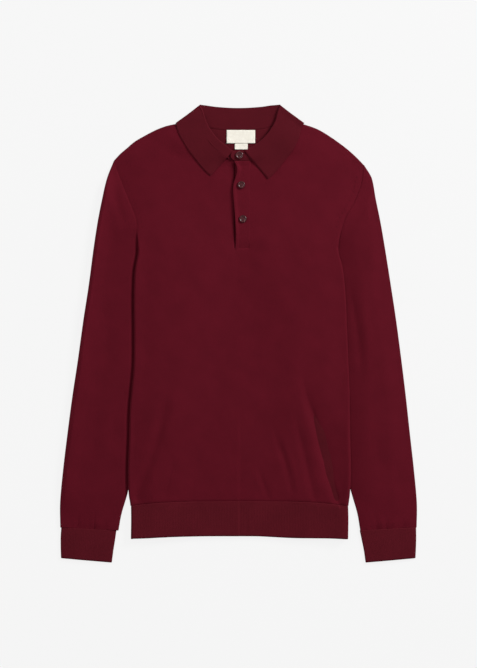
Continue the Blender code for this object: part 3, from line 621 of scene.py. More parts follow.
def noise(tree, scale, detail, coordinates, roughness=0.6):
    """A Noise texture's value."""
    node = tree.nodes.new("ShaderNodeTexNoise")
    node.inputs["Scale"].default_value = scale
    node.inputs["Detail"].default_value = detail
    node.inputs["Roughness"].default_value = roughness
    tree.links.new(coordinates, node.inputs["Vector"])
    return node.outputs["Fac"]


def ramp(tree, factor, *stops):
    """A colour ramp of (place, colour) stops."""
    node = tree.nodes.new("ShaderNodeValToRGB")
    for element, (place, colour) in zip(node.color_ramp.elements, (stops[0], stops[-1])):
        element.position, element.color = place, (*colour, 1)
    for place, colour in stops[1:-1]:
        node.color_ramp.elements.new(place).color = (*colour, 1)
    tree.links.new(factor, node.inputs["Fac"])
    return node.outputs["Color"]


def object_place(tree):
    """Position on the garment."""
    return tree.nodes.new("ShaderNodeTexCoord").outputs["Object"]


def cloth_place(tree):
    """The cloth's own coordinates across and along the knit, in metres."""
    node = tree.nodes.new("ShaderNodeUVMap")
    node.uv_map = "cloth"
    parts = tree.nodes.new("ShaderNodeSeparateXYZ")
    tree.links.new(node.outputs["UV"], parts.inputs[0])
    return parts.outputs["X"], parts.outputs["Y"]


def stitch_height(tree, wale, course):
    """Height of plain knit: a column of V stitches for each wale, 0 to 1."""
    across, down = cloth_place(tree)
    u = maths(tree, "FRACT", maths(tree, "DIVIDE", across, wale * MM))
    reach = maths(tree, "ABSOLUTE", maths(tree, "SUBTRACT", u, 0.5))
    leg = maths(tree, "DIVIDE", maths(tree, "SUBTRACT", reach, 0.25), 0.25)
    leg = maths(tree, "SUBTRACT", 1.0, maths(tree, "MULTIPLY", leg, leg))
    v = maths(tree, "DIVIDE", down, course * MM)
    v = maths(tree, "FRACT", maths(tree, "ADD", v, maths(tree, "MULTIPLY", reach, 1.6)))
    loop = maths(tree, "SINE", maths(tree, "MULTIPLY", v, pi))
    return maths(tree, "MULTIPLY", leg, maths(tree, "ADD", 0.35, maths(tree, "MULTIPLY", loop, 0.65)))


def bump(tree, shader, height, distance, strength=1.0):
    """Raise the shader's surface by a height of 0 to 1."""
    node = tree.nodes.new("ShaderNodeBump")
    node.inputs["Distance"].default_value = distance * MM
    node.inputs["Strength"].default_value = strength
    tree.links.new(height, node.inputs["Height"])
    tree.links.new(node.outputs["Normal"], shader.inputs["Normal"])


def tint(colour, factor):
    """A colour times a factor."""
    return tuple(channel * factor for channel in colour)


def knit_material(name, colour, shades, wale, course, depth):
    """Dyed fine wool knit: V stitches, loose surface fibres and slightly uneven dye, with painted shade in
    the stitches' hollows and a painted highlight on their crests.
    """
    made, tree, shader = new_material(name, 0.86, Sheen_Weight=0.12, Sheen_Roughness=0.4,
                                      Sheen_Tint=(1.0, 0.22, 0.28, 1), Specular_IOR_Level=0.04)
    place = object_place(tree)
    stitches = stitch_height(tree, wale, course)
    dye = noise(tree, 26.0, 3.0, place)
    fibre = noise(tree, 1500.0, 2.0, place, 0.75)
    # Colour from uneven dye and fibres, and from the stitch relief: painted shade where the stitches sink,
    # painted highlight where they rise.
    tone_with_painted_shade = weighted(tree, (dye, 0.45), (fibre, 0.35), (stitches, 0.2))
    stops = [(place, tint(colour, shade)) for place, shade in zip((0.22, 0.5, 0.82), shades)]
    tree.links.new(ramp(tree, tone_with_painted_shade, *stops), shader.inputs["Base Color"])
    bump(tree, shader, weighted(tree, (stitches, 0.8), (fibre, 0.35)), depth)
    return made


CLOTH_COLOUR = (0.092, 0.0048, 0.0118)
RIB_COLOUR = (0.086, 0.0063, 0.0119)
THREAD_COLOUR = (0.075, 0.0055, 0.010)

# Knits: material's name, dye, its shades where dark, middling and light, width and height of
# a stitch, and depth of the relief.
KNITS = {
    "knit": ("fine_knit", CLOTH_COLOUR, (0.86, 1.0, 1.2), 1.7, 1.25, 0.16),
    "reverse_knit": ("reverse_knit", RIB_COLOUR, (0.74, 0.88, 1.05), 1.7, 1.25, 0.2),
    "rib_knit": ("rib_knit", RIB_COLOUR, (0.84, 1.0, 1.2), 1.3, 1.2, 0.16),
    "collar": ("collar_knit", RIB_COLOUR, (0.73, 0.87, 1.04), 1.5, 1.1, 0.14),
}


def thread_material(name, colour, scale):
    """Twisted sewing thread."""
    made, tree, shader = new_material(name, 0.7, Sheen_Weight=0.25, Sheen_Roughness=0.4)
    fibre = noise(tree, scale, 2.0, object_place(tree))
    stops = (0.3, tint(colour, 0.75)), (0.7, tint(colour, 1.35))
    tree.links.new(ramp(tree, fibre, *stops), shader.inputs["Base Color"])
    bump(tree, shader, fibre, 0.08)
    return made


# Stops of the colour ramps of the buttons and the labels.
RESIN_COLOURS = (0.3, (0.026, 0.004, 0.005)), (0.55, (0.060, 0.008, 0.011)), (0.8, (0.110, 0.018, 0.023))
TAPE_COLOURS = (0.2, (0.68, 0.64, 0.55)), (0.6, (0.83, 0.79, 0.70)), (0.9, (0.90, 0.87, 0.79))
TAPE_WARP = 0.45
TAPE_WEFT = 0.32


def button_material():
    """Polished dark resin with faint clouds, as a real horn pattern has."""
    made, tree, shader = new_material("button_resin", 0.26, Specular_IOR_Level=0.5)
    clouds = noise(tree, 420.0, 3.0, object_place(tree))
    tree.links.new(ramp(tree, clouds, *RESIN_COLOURS), shader.inputs["Base Color"])
    bump(tree, shader, clouds, 0.02)
    return made


def label_material():
    """Cream satin tape with its weave, the weave's colour painted lighter on the raised threads and darker
    between them as painted shade.
    """
    made, tree, shader = new_material("label_tape", 0.55, Sheen_Weight=0.15, Sheen_Roughness=0.4)
    across, down = cloth_place(tree)
    warp = maths(tree, "SINE", maths(tree, "MULTIPLY", across, 2 * pi / (TAPE_WARP * MM)))
    weft = maths(tree, "SINE", maths(tree, "MULTIPLY", down, 2 * pi / (TAPE_WEFT * MM)))
    weave = maths(tree, "ADD", maths(tree, "MULTIPLY", maths(tree, "MULTIPLY", warp, weft), 0.5), 0.5)
    uneven = noise(tree, 160.0, 3.0, object_place(tree))
    # Colour from uneven tape and from the weave relief: painted shade between the threads, painted highlight
    # on them.
    tone_with_painted_shade = weighted(tree, (weave, 0.4), (uneven, 0.6))
    tree.links.new(ramp(tree, tone_with_painted_shade, *TAPE_COLOURS), shader.inputs["Base Color"])
    bump(tree, shader, weave, 0.05)
    return made


FINISHES = {key: knit_material(*knit) for key, knit in KNITS.items()}
FINISHES["thread"] = thread_material("seam_thread", THREAD_COLOUR, 1800.0)
FINISHES["button"] = button_material()
FINISHES["label"] = label_material()


# ---------------------------------------------------------------- shells


def add_object(name, mesh, finish, angle=60):
    """Put a mesh into the scene as a smooth-shaded object that rides on the garment."""
    mesh.materials.append(FINISHES[finish])
    mesh.shade_smooth()
    mesh.set_sharp_from_angle(angle=radians(angle))
    made = bpy.data.objects.new(name, mesh)
    bpy.context.scene.collection.objects.link(made)
    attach(made, "root")
    return made


# How far a shell's rounded rim bulges, as a share of its thickness.
RIM_BULGE = 0.32


def corners_of(grid):
    """The four corners of each cell of a grid, in order round the cell."""
    return np.stack([grid[:-1, :-1], grid[:-1, 1:], grid[1:, 1:], grid[1:, :-1]], 2)


def unit(vectors):
    """Vectors scaled to length 1."""
    return vectors / np.maximum(np.linalg.norm(vectors, axis=1), 1e-12)[:, None]


def cloth_map(grid, closed):
    """Distances across and along the cloth at each corner of a grid."""
    rows, columns = grid.shape[:2]
    steps_across = np.linalg.norm(np.roll(grid, -1, axis=1) - grid, axis=2)
    steps_down = np.linalg.norm(np.diff(grid, axis=0), axis=2).mean(1)
    u = np.concatenate([np.zeros((rows, 1)), np.cumsum(steps_across, axis=1)], axis=1)
    if not closed:
        u -= u[:, columns // 2 : columns // 2 + 1]
    v = np.r_[0, np.cumsum(steps_down)][:, None] + np.zeros(columns + 1)
    return np.stack([u, v], -1)


def shell(name, grid, thickness, finish, keep=None, closed=False, up_at=None, relief=0.0, outside=1):
    """A closed thin wall around a grid of middle points, with the cloth's own UV map.

    keep says which cells hold cloth. closed joins the last column to the first. up_at is a
    point whose upper side is the outside of the wall (or the inside, with outside = -1).
    relief is added to the outside at each point.
    """
    grid = np.asarray(grid, float)
    rows, columns = grid.shape[:2]
    across = columns if closed else columns - 1
    if keep is None:
        keep = np.ones((rows - 1, across), bool)
    index = np.arange(rows * columns).reshape(rows, columns)
    cells = corners_of(np.concatenate([index, index[:, :1]], axis=1))[:, :across][keep]
    corner_uv = corners_of(cloth_map(grid, closed))[:, :across][keep]

    points = grid.reshape(-1, 3)
    corners = points[cells]
    facing = np.cross(corners[:, 2] - corners[:, 0], corners[:, 3] - corners[:, 1])
    normals = np.zeros_like(points)
    for corner in range(4):
        np.add.at(normals, cells[:, corner], facing)
    used = np.linalg.norm(normals, axis=1) > 0
    normals = unit(normals)
    if up_at is not None and normals[index[up_at]][2] < 0:
        normals = -normals

    raised = np.reshape(relief, (-1, 1)) + np.zeros((len(points), 1))
    high, low = (thickness / 2 + (raised if outside == face else 0) for face in (1, -1))
    upper = (points + normals * high - FOOTPRINT)[used] * MM
    lower = (points - normals * low - FOOTPRINT)[used] * MM
    cells = (np.cumsum(used) - 1)[cells]
    count = len(upper)

    edges = np.concatenate([cells[:, [k, (k + 1) % 4]] for k in range(4)])
    edge_uv = np.concatenate([corner_uv[:, [k, (k + 1) % 4]] for k in range(4)])
    rim = ~np.isin(edges[:, 1] * count + edges[:, 0], edges[:, 0] * count + edges[:, 1])
    edges, edge_uv = edges[rim], edge_uv[rim]
    away = unit(np.cross(upper[edges[:, 1]] - upper[edges[:, 0]], normals[used][edges[:, 0]]))
    inner = np.tile(upper[cells].mean(axis=1), (4, 1))[rim]
    away[np.einsum("ij,ij->i", away, upper[edges[:, 0]] - inner) < 0] *= -1
    bulge = np.zeros((count, 3))
    for corner in range(2):
        np.add.at(bulge, edges[:, corner], away)
    on_rim = np.unique(edges)
    rounded = (upper[on_rim] + lower[on_rim]) / 2 + unit(bulge[on_rim]) * RIM_BULGE * thickness * MM
    rim_index = np.zeros(count, int)
    rim_index[on_rim] = 2 * count + np.arange(len(on_rim))

    a, b = edges[:, 0], edges[:, 1]
    quads = np.concatenate([
        cells,
        cells[:, ::-1] + count,
        np.stack([b, a, rim_index[a], rim_index[b]], 1),
        np.stack([rim_index[b], rim_index[a], a + count, b + count], 1),
    ])
    rim_uv = edge_uv[:, [1, 0, 0, 1]]
    loops = np.concatenate([corner_uv, corner_uv[:, ::-1], rim_uv, rim_uv]) * MM
    mesh = mesh_of(name, np.vstack([upper, lower, rounded]), quads)
    cloth = mesh.uv_layers.new(name="cloth")
    cloth.uv.foreach_set("vector", loops.astype(np.float32).ravel())
    face_outwards(mesh)
    return add_object(name, mesh, finish)


def finish_shape(shape, mesh):
    """Write a bmesh to a mesh, its faces turned outwards."""
    bmesh.ops.recalc_face_normals(shape, faces=shape.faces)
    shape.to_mesh(mesh)
    shape.free()
    return mesh


def face_outwards(mesh):
    """Turn the faces of a closed mesh outwards."""
    shape = bmesh.new()
    shape.from_mesh(mesh)
    finish_shape(shape, mesh)


def mesh_of(name, points, quads):
    """A mesh from arrays of points and four-cornered faces."""
    mesh = bpy.data.meshes.new(name)
    mesh.vertices.add(len(points))
    mesh.vertices.foreach_set("co", np.asarray(points, np.float32).ravel())
    mesh.loops.add(4 * len(quads))
    mesh.loops.foreach_set("vertex_index", np.asarray(quads, np.int32).ravel())
    mesh.polygons.add(len(quads))
    mesh.polygons.foreach_set("loop_start", np.arange(0, 4 * len(quads), 4, dtype=np.int32))
    mesh.update(calc_edges=True)
    mesh.validate()
    return mesh


def refine(grid, down, across):
    """A finer grid whose surface passes smoothly through every point of a coarse one."""
    grid = np.asarray(grid, float)
    rows, columns = grid.shape[:2]
    tall = through(np.linspace(0, rows - 1, (rows - 1) * down + 1), np.arange(rows), grid)
    places = np.linspace(0, columns - 1, (columns - 1) * across + 1)
    return through(places, np.arange(columns), tall.swapaxes(0, 1)).swapaxes(0, 1)


def widen(grid, columns):
    """The same rows with evenly spaced columns, and how far along its row each point is."""
    rows, reach = [], []
    for row in np.asarray(grid, float):
        lengths = np.r_[0, np.cumsum(np.linalg.norm(np.diff(row, axis=0), axis=1))]
        wanted = np.linspace(0, lengths[-1], columns)
        rows.append(through(wanted, lengths, row))
        reach.append(wanted)
    return np.array(rows), np.array(reach)


# ---------------------------------------------------------------- body panels

# Rows and columns of the panels' grids, the ribs, and the dip of the front at its seams.
UPPER_ROWS = 56
LOWER_ROWS = 118
SEAM_ROWS = 6
HEM_ROWS = 22
BEND_CELLS = 8
TUCK_CELLS = 18
SLOT_CELLS = 8
SHOULDER_CELLS = 62
NECK_CELLS = 24
RIB_PITCH = 2.6
RIB_HEIGHT = 0.15
RIB_SAMPLES = 5
SEAM_DIP = 0.55
SEAM_DIP_REACH = 2.4
# The folds of the body fade out in the hem by this share, over this share of its depth.
HEM_CALM = 0.9
HEM_CALM_RUN = 0.12
# The folded edge at each row is taken where the row passes this distance from the middle.
EDGE_PLACE = 175.0


def top_edge(side, panel):
    """Points of a panel's top edge from its outer corner to the middle."""
    sign = SIGN[side]
    close = np.array([0, 0.005, 0.012, 0.022, 0.036, 0.055])
    shares = np.r_[close, np.linspace(0.08, 1, SHOULDER_CELLS - len(close) + 1)]
    shoulder = along(np.column_stack([SHOULDER[side + "_x"], SHOULDER[side + "_y"]]), shares)
    inner = {"left": -SLOT_LEFT, "right": SLOT_RIGHT}[side] if panel == "front" else 0.0
    neck = along(np.column_stack([NECK["x"], NECK[panel]]), np.linspace(0, 1, 160))
    neck = along(neck[neck[:, 0] >= inner - 0.2], np.linspace(0, 1, NECK_CELLS + 1), curved=False)
    line = np.vstack([shoulder, neck[1:]])
    line[-1, 0] = inner
    return line * [sign, 1]


def hem_seam(x):
    """Level of the seam between body and hem, which dips towards its corners."""
    return HEM_SEAM - HEM_SEAM_CORNER * (np.abs(x) / HEM_CORNER) ** 4


def hem_foot(x):
    """Level of the hem's foot edge."""
    return through(x, HEM_FOOT["x"], HEM_FOOT["y"])


def main_height(x, y, layer, extra):
    """Middle of a panel (layer 0 front, 1 back) whose wall is thicker than KNIT by extra."""
    thicker = extra * tuck_lift(x, y) / LAYER
    if layer == 0:
        return front_height(x, y) + 1.5 * extra + thicker
    return back_height(x, y) + 0.5 * extra + thicker


def tuck_height(x, y, layer, extra):
    """Middle of the folded-under stretch of the front (layer 0) or the back (layer 1)."""
    return KNIT / 2 + sleeve_lift(x, y) + layer * LAYER + (0.5 + layer) * extra


def bend(rows, side, y, layer, extra):
    """Where the folded side edge turns: its centre line's x and z, and its radius."""
    sign = SIGN[side]
    edge = float(read(rows, y, side))
    turns = []
    for each in (0, 1):
        x = sign * (edge - BEND_INSET)
        low = float(tuck_height(x, y, each, extra))
        turns.append((low, (float(main_height(x, y, each, extra)) - low) / 2))
    reach = edge - (KNIT + extra) / 2 - turns[0][1]
    if layer == 1:
        reach += turns[0][1] - (KNIT + extra + NESTING) - turns[1][1]
    low, radius = turns[layer]
    return sign * reach, low + radius, radius


def folded_side(rows, side, y, drop, layer, extra, row_level):
    """Points of the folded-under stretch in one row, from its inner end to the top of the bend.

    row_level gives the row's level at each x.
    """
    sign = SIGN[side]
    centre, middle, radius = bend(rows, side, y, layer, extra)
    step = np.arange(TUCK_CELLS, 0, -1) / TUCK_CELLS
    x = centre - sign * tuck_width(y) * step
    lower = y - drop * step + (row_level(x) - row_level(centre))
    under = np.column_stack([x, lower, tuck_height(x, lower, layer, extra)])
    angle = pi * (1 - np.arange(BEND_CELLS) / BEND_CELLS)
    reach = centre + sign * radius * np.sin(angle) ** BEND_SQUARENESS[side]
    turn = np.column_stack([reach, np.full(BEND_CELLS, y), middle + radius * np.cos(angle)])
    return np.vstack([under, turn])


def half_rows(side, panel):
    """Rows of middle points for one half of a panel: the body, then its ribbed hem."""
    layer = 0 if panel == "front" else 1
    edge = top_edge(side, panel)
    sign = SIGN[side]
    share = (edge[:, 0] - edge[-1, 0]) / (edge[0, 0] - edge[-1, 0])
    body, hem = [], []

    def seam_dip(gap):
        """How far the front sinks beside a seam that is gap away."""
        return (1 - layer) * SEAM_DIP * np.exp(-((gap / SEAM_DIP_REACH) ** 2))

    def folded_row(rows, row_level, drop, extra):
        """The folded-under points of a row, and x and y of the points that show."""
        level = float(row_level(EDGE_PLACE))
        centre = bend(rows, side, level, layer, extra)[0]
        x = edge[-1, 0] + (centre - edge[-1, 0]) * share
        return folded_side(rows, side, level, drop, layer, extra, row_level), x, row_level(x)

    for t in np.linspace(0, 0.997, UPPER_ROWS):
        y = edge[:, 1] + (FOLD_TOP - edge[:, 1]) * t
        reach = sign * (read(SIDE, y[0], side) - SEAM / 2) if t else edge[0, 0]
        x = edge[-1, 0] + (reach - edge[-1, 0]) * share
        dip = seam_dip(np.abs(x[0] - x)) * smooth(t / 0.1)
        empty = np.repeat([[x[0], y[0], 0.0]], TUCK_CELLS + BEND_CELLS, axis=0)
        body.append(np.vstack([empty, np.column_stack([x, y, main_height(x, y, layer, 0) - dip])]))
    for t in np.r_[np.linspace(0, 0.98, LOWER_ROWS), np.linspace(0.9835, 1, SEAM_ROWS)]:
        def body_level(at):
            return FOLD_TOP + (hem_seam(at) + SEAM - FOLD_TOP) * t

        under, x, y = folded_row(SIDE, body_level, TUCK_DROP * (1 - t) ** 2, 0)
        dip = seam_dip(y - (hem_seam(x) + SEAM))
        body.append(np.vstack([under, np.column_stack([x, y, main_height(x, y, layer, 0) - dip])]))
    for t in np.r_[0, 0.012, 0.03, np.linspace(0.06, 1, HEM_ROWS)]:
        def hem_level(at):
            return hem_seam(at) + (hem_foot(at) - hem_seam(at)) * t

        under, x, y = folded_row(HEM_SIDE, hem_level, 0, RIB - KNIT)
        z = main_height(x, y, layer, RIB - KNIT)
        if panel == "front":
            calm = z - front_folds(x, y)
            z = calm + (z - calm) * (1 - HEM_CALM * smooth(t / HEM_CALM_RUN))
        hem.append(np.vstack([under, np.column_stack([x, y, z])]))
    return np.array(body), np.array(hem)


def join_halves(left, right, panel):
    """One grid from both halves, with the columns of the slot between them on the front."""
    right = right[:, ::-1]
    if panel == "back":
        return np.concatenate([left, right[:, 1:]], axis=1)
    share = (np.arange(1, SLOT_CELLS) / SLOT_CELLS)[None, :, None]
    between = left[:, -1:, :] + (right[:, :1, :] - left[:, -1:, :]) * share
    ends = (left[:, -1, 2] - main_height(left[:, -1, 0], left[:, -1, 1], 0, 0))[:, None]
    between[:, :, 2] = main_height(between[:, :, 0], between[:, :, 1], 0, 0) + ends
    return np.concatenate([left, between, right], axis=1)


def rib_heights(reach, count):
    """Height of the ribs at each share of the way across them."""
    return RIB_HEIGHT * np.sqrt(np.maximum(0, 0.5 + 0.5 * np.cos(2 * pi * reach * count)))


def build_panel(panel):
    """A body panel with its sides folded under, and the ribbed welt at its foot."""
    left, left_hem = half_rows("left", panel)
    right, right_hem = half_rows("right", panel)
    grid = join_halves(left, right, panel)
    keep = np.ones((grid.shape[0] - 1, grid.shape[1] - 1), bool)
    hidden = BEND_CELLS + TUCK_CELLS
    keep[:UPPER_ROWS, :hidden] = False
    keep[:UPPER_ROWS, -hidden:] = False
    if panel == "front":
        keep[:UPPER_ROWS, left.shape[1] - 1 : left.shape[1] - 1 + SLOT_CELLS] = False
    middle = (UPPER_ROWS + 30, grid.shape[1] // 2)
    outside = 1 if panel == "front" else -1
    finish = "knit" if panel == "front" else "reverse_knit"
    shell(panel + "_cloth", grid, KNIT, finish, keep, up_at=middle, outside=outside)
    hem = join_halves(left_hem, right_hem, panel)
    width = np.linalg.norm(np.diff(hem[HEM_ROWS // 2], axis=0), axis=1).sum()
    count = int(width / RIB_PITCH)
    hem, reach = widen(hem, count * RIB_SAMPLES + 1)
    ribs = rib_heights(reach / reach[:, -1:], count) * (1 - hem_relief(hem))
    shell("hem_knit_" + panel, hem, RIB - RIB_HEIGHT, "rib_knit", up_at=(3, hem.shape[1] // 2),
          relief=ribs, outside=outside)


def hem_relief(hem):
    """1 on the first and last row of a rib, where the ribs end in a smooth edge."""
    level = np.zeros(hem.shape[:2])
    level[0] = 1
    level[-1] = 1
    return level


# ---------------------------------------------------------------- sleeves and cuffs

SLEEVE_ROWS = 150
SLEEVE_CELLS = 56
EDGE_CELLS = 6
# The left sleeve is puffed up along its outer edge, and the right one falls away to it.
SLEEVE_BAND = {"left": 21.0, "right": 40.0}
EDGE_PUFF = 1.9
EDGE_PUFF_PLACE = 5.0
UPPER_PUFF = 0.8
UPPER_PUFF_FOOT = -80.0
PUFF_RUN = 80.0
EDGE_RUN = 9.0
# Where the left sleeve leaves the folded side steeply, and where both do so at the armhole.
STEEP_START = 0.5
STEEP_RUN = 6.5
ARMHOLE_RUN = 48.0
ARMHOLE_BLEND_FOOT = FOLD_TOP - 10.0
ARMHOLE_BLEND = 34.0
# Just above the cuff the left sleeve lies calmer, and the lower part of the right one is less full.
CUFF_CALM_LEVEL = -312.0
CUFF_PUFF = 0.9
LOW_SLEEVE_TOP = -190.0
LOW_SLEEVE_RUN = 120.0
LOW_SLEEVE_SLACK = 0.45
# Fullness at the outer edge as a share of the whole, and how much less it is at the armhole.
EDGE_SHARE = {"left": 0.6, "right": 0.15}
ARMHOLE_SLACK = 0.3
# How far below FOLD_TOP the sleeve starts to meet the front at the seam, and how gradually.
SEAM_BLEND_BELOW = 4.0
SEAM_BLEND = 44.0
# The folds fade out towards the body and towards the outer edge.
FOLDS_BODY_RUN = 16.0
FOLDS_EDGE_RUN = 8.0


def sleeve_height(x, y, from_edge):
    """Middle of the upper layer of a sleeve. from_edge is the distance from its outer edge."""
    flat = KNIT / 2 + LAYER
    side = by_side(SIDE, x, y)
    outward = np.abs(x) - side
    left = hand(x) == "left"
    gentle = smooth(outward / SLEEVE_RUN)
    steep = np.where(left, smooth((outward - STEEP_START) / STEEP_RUN), gentle)
    by_armhole = smooth((y - ARMHOLE_BLEND_FOOT) / ARMHOLE_BLEND)
    away = steep * (1 - by_armhole) + gentle * by_armhole
    falling = EDGE_SHARE["right"] + (1 - EDGE_SHARE["right"]) * smooth(from_edge / SLEEVE_BAND["right"])
    falling = falling * (1 - LOW_SLEEVE_SLACK * smooth((LOW_SLEEVE_TOP - y) / LOW_SLEEVE_RUN))
    falling = falling * (1 - ARMHOLE_SLACK * by_armhole)
    ridge = np.exp(-(((from_edge - EDGE_PUFF_PLACE) / SLEEVE_BAND["left"]) ** 2))
    puffed = EDGE_SHARE["left"] + (1 - EDGE_SHARE["left"]) * smooth(from_edge / EDGE_RUN) + EDGE_PUFF * ridge
    puffed = CUFF_PUFF + (puffed - CUFF_PUFF) * smooth((y - CUFF_CALM_LEVEL) / PUFF_RUN)
    above = smooth((y - UPPER_PUFF_FOOT) / PUFF_RUN)
    puffed = puffed + UPPER_PUFF * np.exp(-((from_edge / EDGE_RUN) ** 2)) * above
    full = away * np.where(left, SLEEVE_FULLNESS["left"] * puffed, SLEEVE_FULLNESS["right"] * falling)
    at_seam = front_height(np.sign(x) * (side - SEAM), y) - flat
    beside = at_seam * smooth(1 - outward / ARMHOLE_RUN)
    beside = beside * smooth((y - FOLD_TOP + SEAM_BLEND_BELOW) / SEAM_BLEND)
    folds = fold_height(SLEEVE_FOLDS, x, y) + swell(y * 0.6, x * 0.8)
    folds = folds * smooth(outward / FOLDS_BODY_RUN) * smooth(from_edge / FOLDS_EDGE_RUN)
    return flat + full + beside + folds


def armhole(side):
    """Points down the front of the armhole: the seam that shows, then the part under the body."""
    outer = np.array([SLEEVE["outer_x"][0], SLEEVE["outer_y"][0]])
    top = SHOULDER[side + "_y"][0]
    levels = top + (FOLD_TOP - top) * np.linspace(0.02, 0.97, 42)
    seam = np.column_stack([read(SIDE, levels, side) + SEAM / 4, levels])
    turn = [[float(read(SIDE, FOLD_TOP, side)) - 1.0, FOLD_TOP + 1.0]]
    under = np.column_stack([UNDER_ARM["x"], UNDER_ARM["y"]])
    if side == "right":
        outer = outer + [SLEEVE["right_outer"][0], RIGHT_CORNER_DROP]
    return np.vstack([[outer], seam, turn, under]), len(seam)


def tube_ring(line, sign, top, bottom, half_wall):
    """One closed section of a flattened tube: the top layer inwards, then the bottom layer back.

    line runs in plan from the outer to the inner edge; top and bottom are the heights there.
    """
    x, y = sign * line[:, 0], line[:, 1]
    upper, lower = np.column_stack([x, y, top]), np.column_stack([x, y, bottom])
    arcs = []
    for edge, beside, direction in ((0, 1, 1), (-1, -2, -1)):
        inset = (line[beside] - line[edge]) / np.linalg.norm(line[beside] - line[edge]) * [sign, 1]
        radius = (top[edge] - bottom[edge]) / 2
        angles = [radians(a) for a in np.linspace(-90, 90, EDGE_CELLS + 1)[1:-1] * direction]
        plan = [upper[edge, :2] + inset * (half_wall + radius * (1 - cos(a))) for a in angles]
        height = [bottom[edge] + radius + radius * sin(a) for a in angles]
        arcs.append(np.column_stack([plan, height]))
        for layer in (upper, lower):
            layer[edge, :2] += inset * (half_wall + radius)
    for layer in (upper, lower):
        keep_order(layer)
    return np.vstack([arcs[0], upper, arcs[1], lower[::-1]])


# Points that keep_order spreads beside each rounded edge.
SPREAD_POINTS = 5


def keep_order(layer):
    """Spread the points next to the rounded edges, so that none lies outside them."""
    for ends in (slice(0, SPREAD_POINTS), slice(-1, -SPREAD_POINTS - 1, -1)):
        part = layer[ends]
        share = np.linspace(0, 1, SPREAD_POINTS)[:, None]
        part[:, :2] = part[0, :2] + (part[-1, :2] - part[0, :2]) * share


def tube_edges(rows, fine, side):
    """Outer and inner edge of a tube at each of its sections, in plan."""
    value = {key: through(fine, np.arange(len(column)), column) for key, column in rows.items()}
    moved = 1 if side == "right" else 0
    return (np.column_stack([value["outer_x"] + moved * value["right_outer"], value["outer_y"]]),
            np.column_stack([value["inner_x"] + moved * value["right_inner"], value["inner_y"]]))


def build_sleeve(side):
    """A sleeve, as a flattened tube from the armhole to the cuff seam."""
    sign = SIGN[side]
    hole, seam_points = armhole(side)
    lengths = np.r_[0, np.cumsum(np.linalg.norm(np.diff(hole, axis=0), axis=1))]
    turn = lengths[seam_points] / lengths[-1]
    shares = np.r_[np.linspace(0, turn - 0.035, SLEEVE_CELLS * 3 // 5),
                   np.linspace(turn - 0.025, turn + 0.025, 9),
                   np.linspace(turn + 0.04, 1, SLEEVE_CELLS * 2 // 5)]
    hole = along(hole, shares, curved=False)
    fine = np.r_[np.linspace(0, 11.85, SLEEVE_ROWS), np.linspace(11.88, 12, 5)]
    outers, inners = tube_edges(SLEEVE, fine, side)
    if side == "right":
        outers[:, 1] += RIGHT_CORNER_DROP * np.maximum(0, 1 - fine)
    curves = through(fine, np.arange(len(SLEEVE["curve"])), SLEEVE["curve"])
    chord = hole[0] + (hole[-1] - hole[0]) * shares[:, None]
    rings = []
    for row, outer, inner, curve in zip(fine, outers, inners, curves):
        line = outer + (inner - outer) * shares[:, None] + (hole - chord) * curve
        if row == 0:
            line = hole.copy()
        from_edge = np.linalg.norm(line - line[0], axis=1)
        x, y = sign * line[:, 0], line[:, 1]
        top = sleeve_height(x, y, from_edge) + gathers(side, line, row)
        closing = smooth((row - 11.7) / 0.3)
        top = top - 0.9 * closing * np.sin(pi * shares) ** 0.5
        dip = SEAM_DIP * np.exp(-((row * 30.0 / SEAM_DIP_REACH) ** 2)) * (y > FOLD_TOP + 8)
        top = top - dip * smooth(shares / 0.08)
        bottom = np.full(len(x), KNIT / 2) + under_gathers(side, line, row)
        rings.append(tube_ring(line, sign, top, bottom, KNIT / 2))
    up_at = (SLEEVE_ROWS // 2, EDGE_CELLS + SLEEVE_CELLS // 3)
    shell("sleeve_cloth_" + side, rings, KNIT, "knit", closed=True, up_at=up_at)


# Small gathers where a sleeve runs into its cuff: share across, half width, height, length.
GATHERS = {
    "left": ((0.12, 3.5, 0.5, 0.5), (0.27, 3.0, -0.7, 0.9), (0.40, 4.0, 0.5, 0.6), (0.55, 3.0, -0.9, 1.0),
             (0.68, 3.5, 0.4, 0.7), (0.80, 3.0, -0.5, 0.6), (0.90, 3.0, 0.3, 0.5)),
    "right": ((0.10, 3.5, 0.4, 0.6), (0.22, 3.0, -0.5, 0.6), (0.36, 3.5, 0.5, 0.8), (0.50, 3.2, -0.6, 0.8),
              (0.64, 3.0, 0.5, 0.6), (0.74, 3.4, -0.9, 1.1), (0.88, 3.2, 0.4, 0.5)),
}


def gathers(side, line, row):
    """Height of the small gathers above the cuff."""
    width = np.linalg.norm(line[-1] - line[0])
    place = np.linspace(0, 1, len(line)) * width
    total = np.zeros(len(line))
    for share, half, height, length in GATHERS[side]:
        ridge = np.exp(-(((place - share * width) / half) ** 2))
        total += height * ridge * smooth((row - 12 + length) / length)
    return total


def under_gathers(side, line, row):
    """The same gathers on the sleeve's underside, where they only rise off the surface."""
    return np.maximum(0, -0.6 * gathers(side, line[::-1], row))


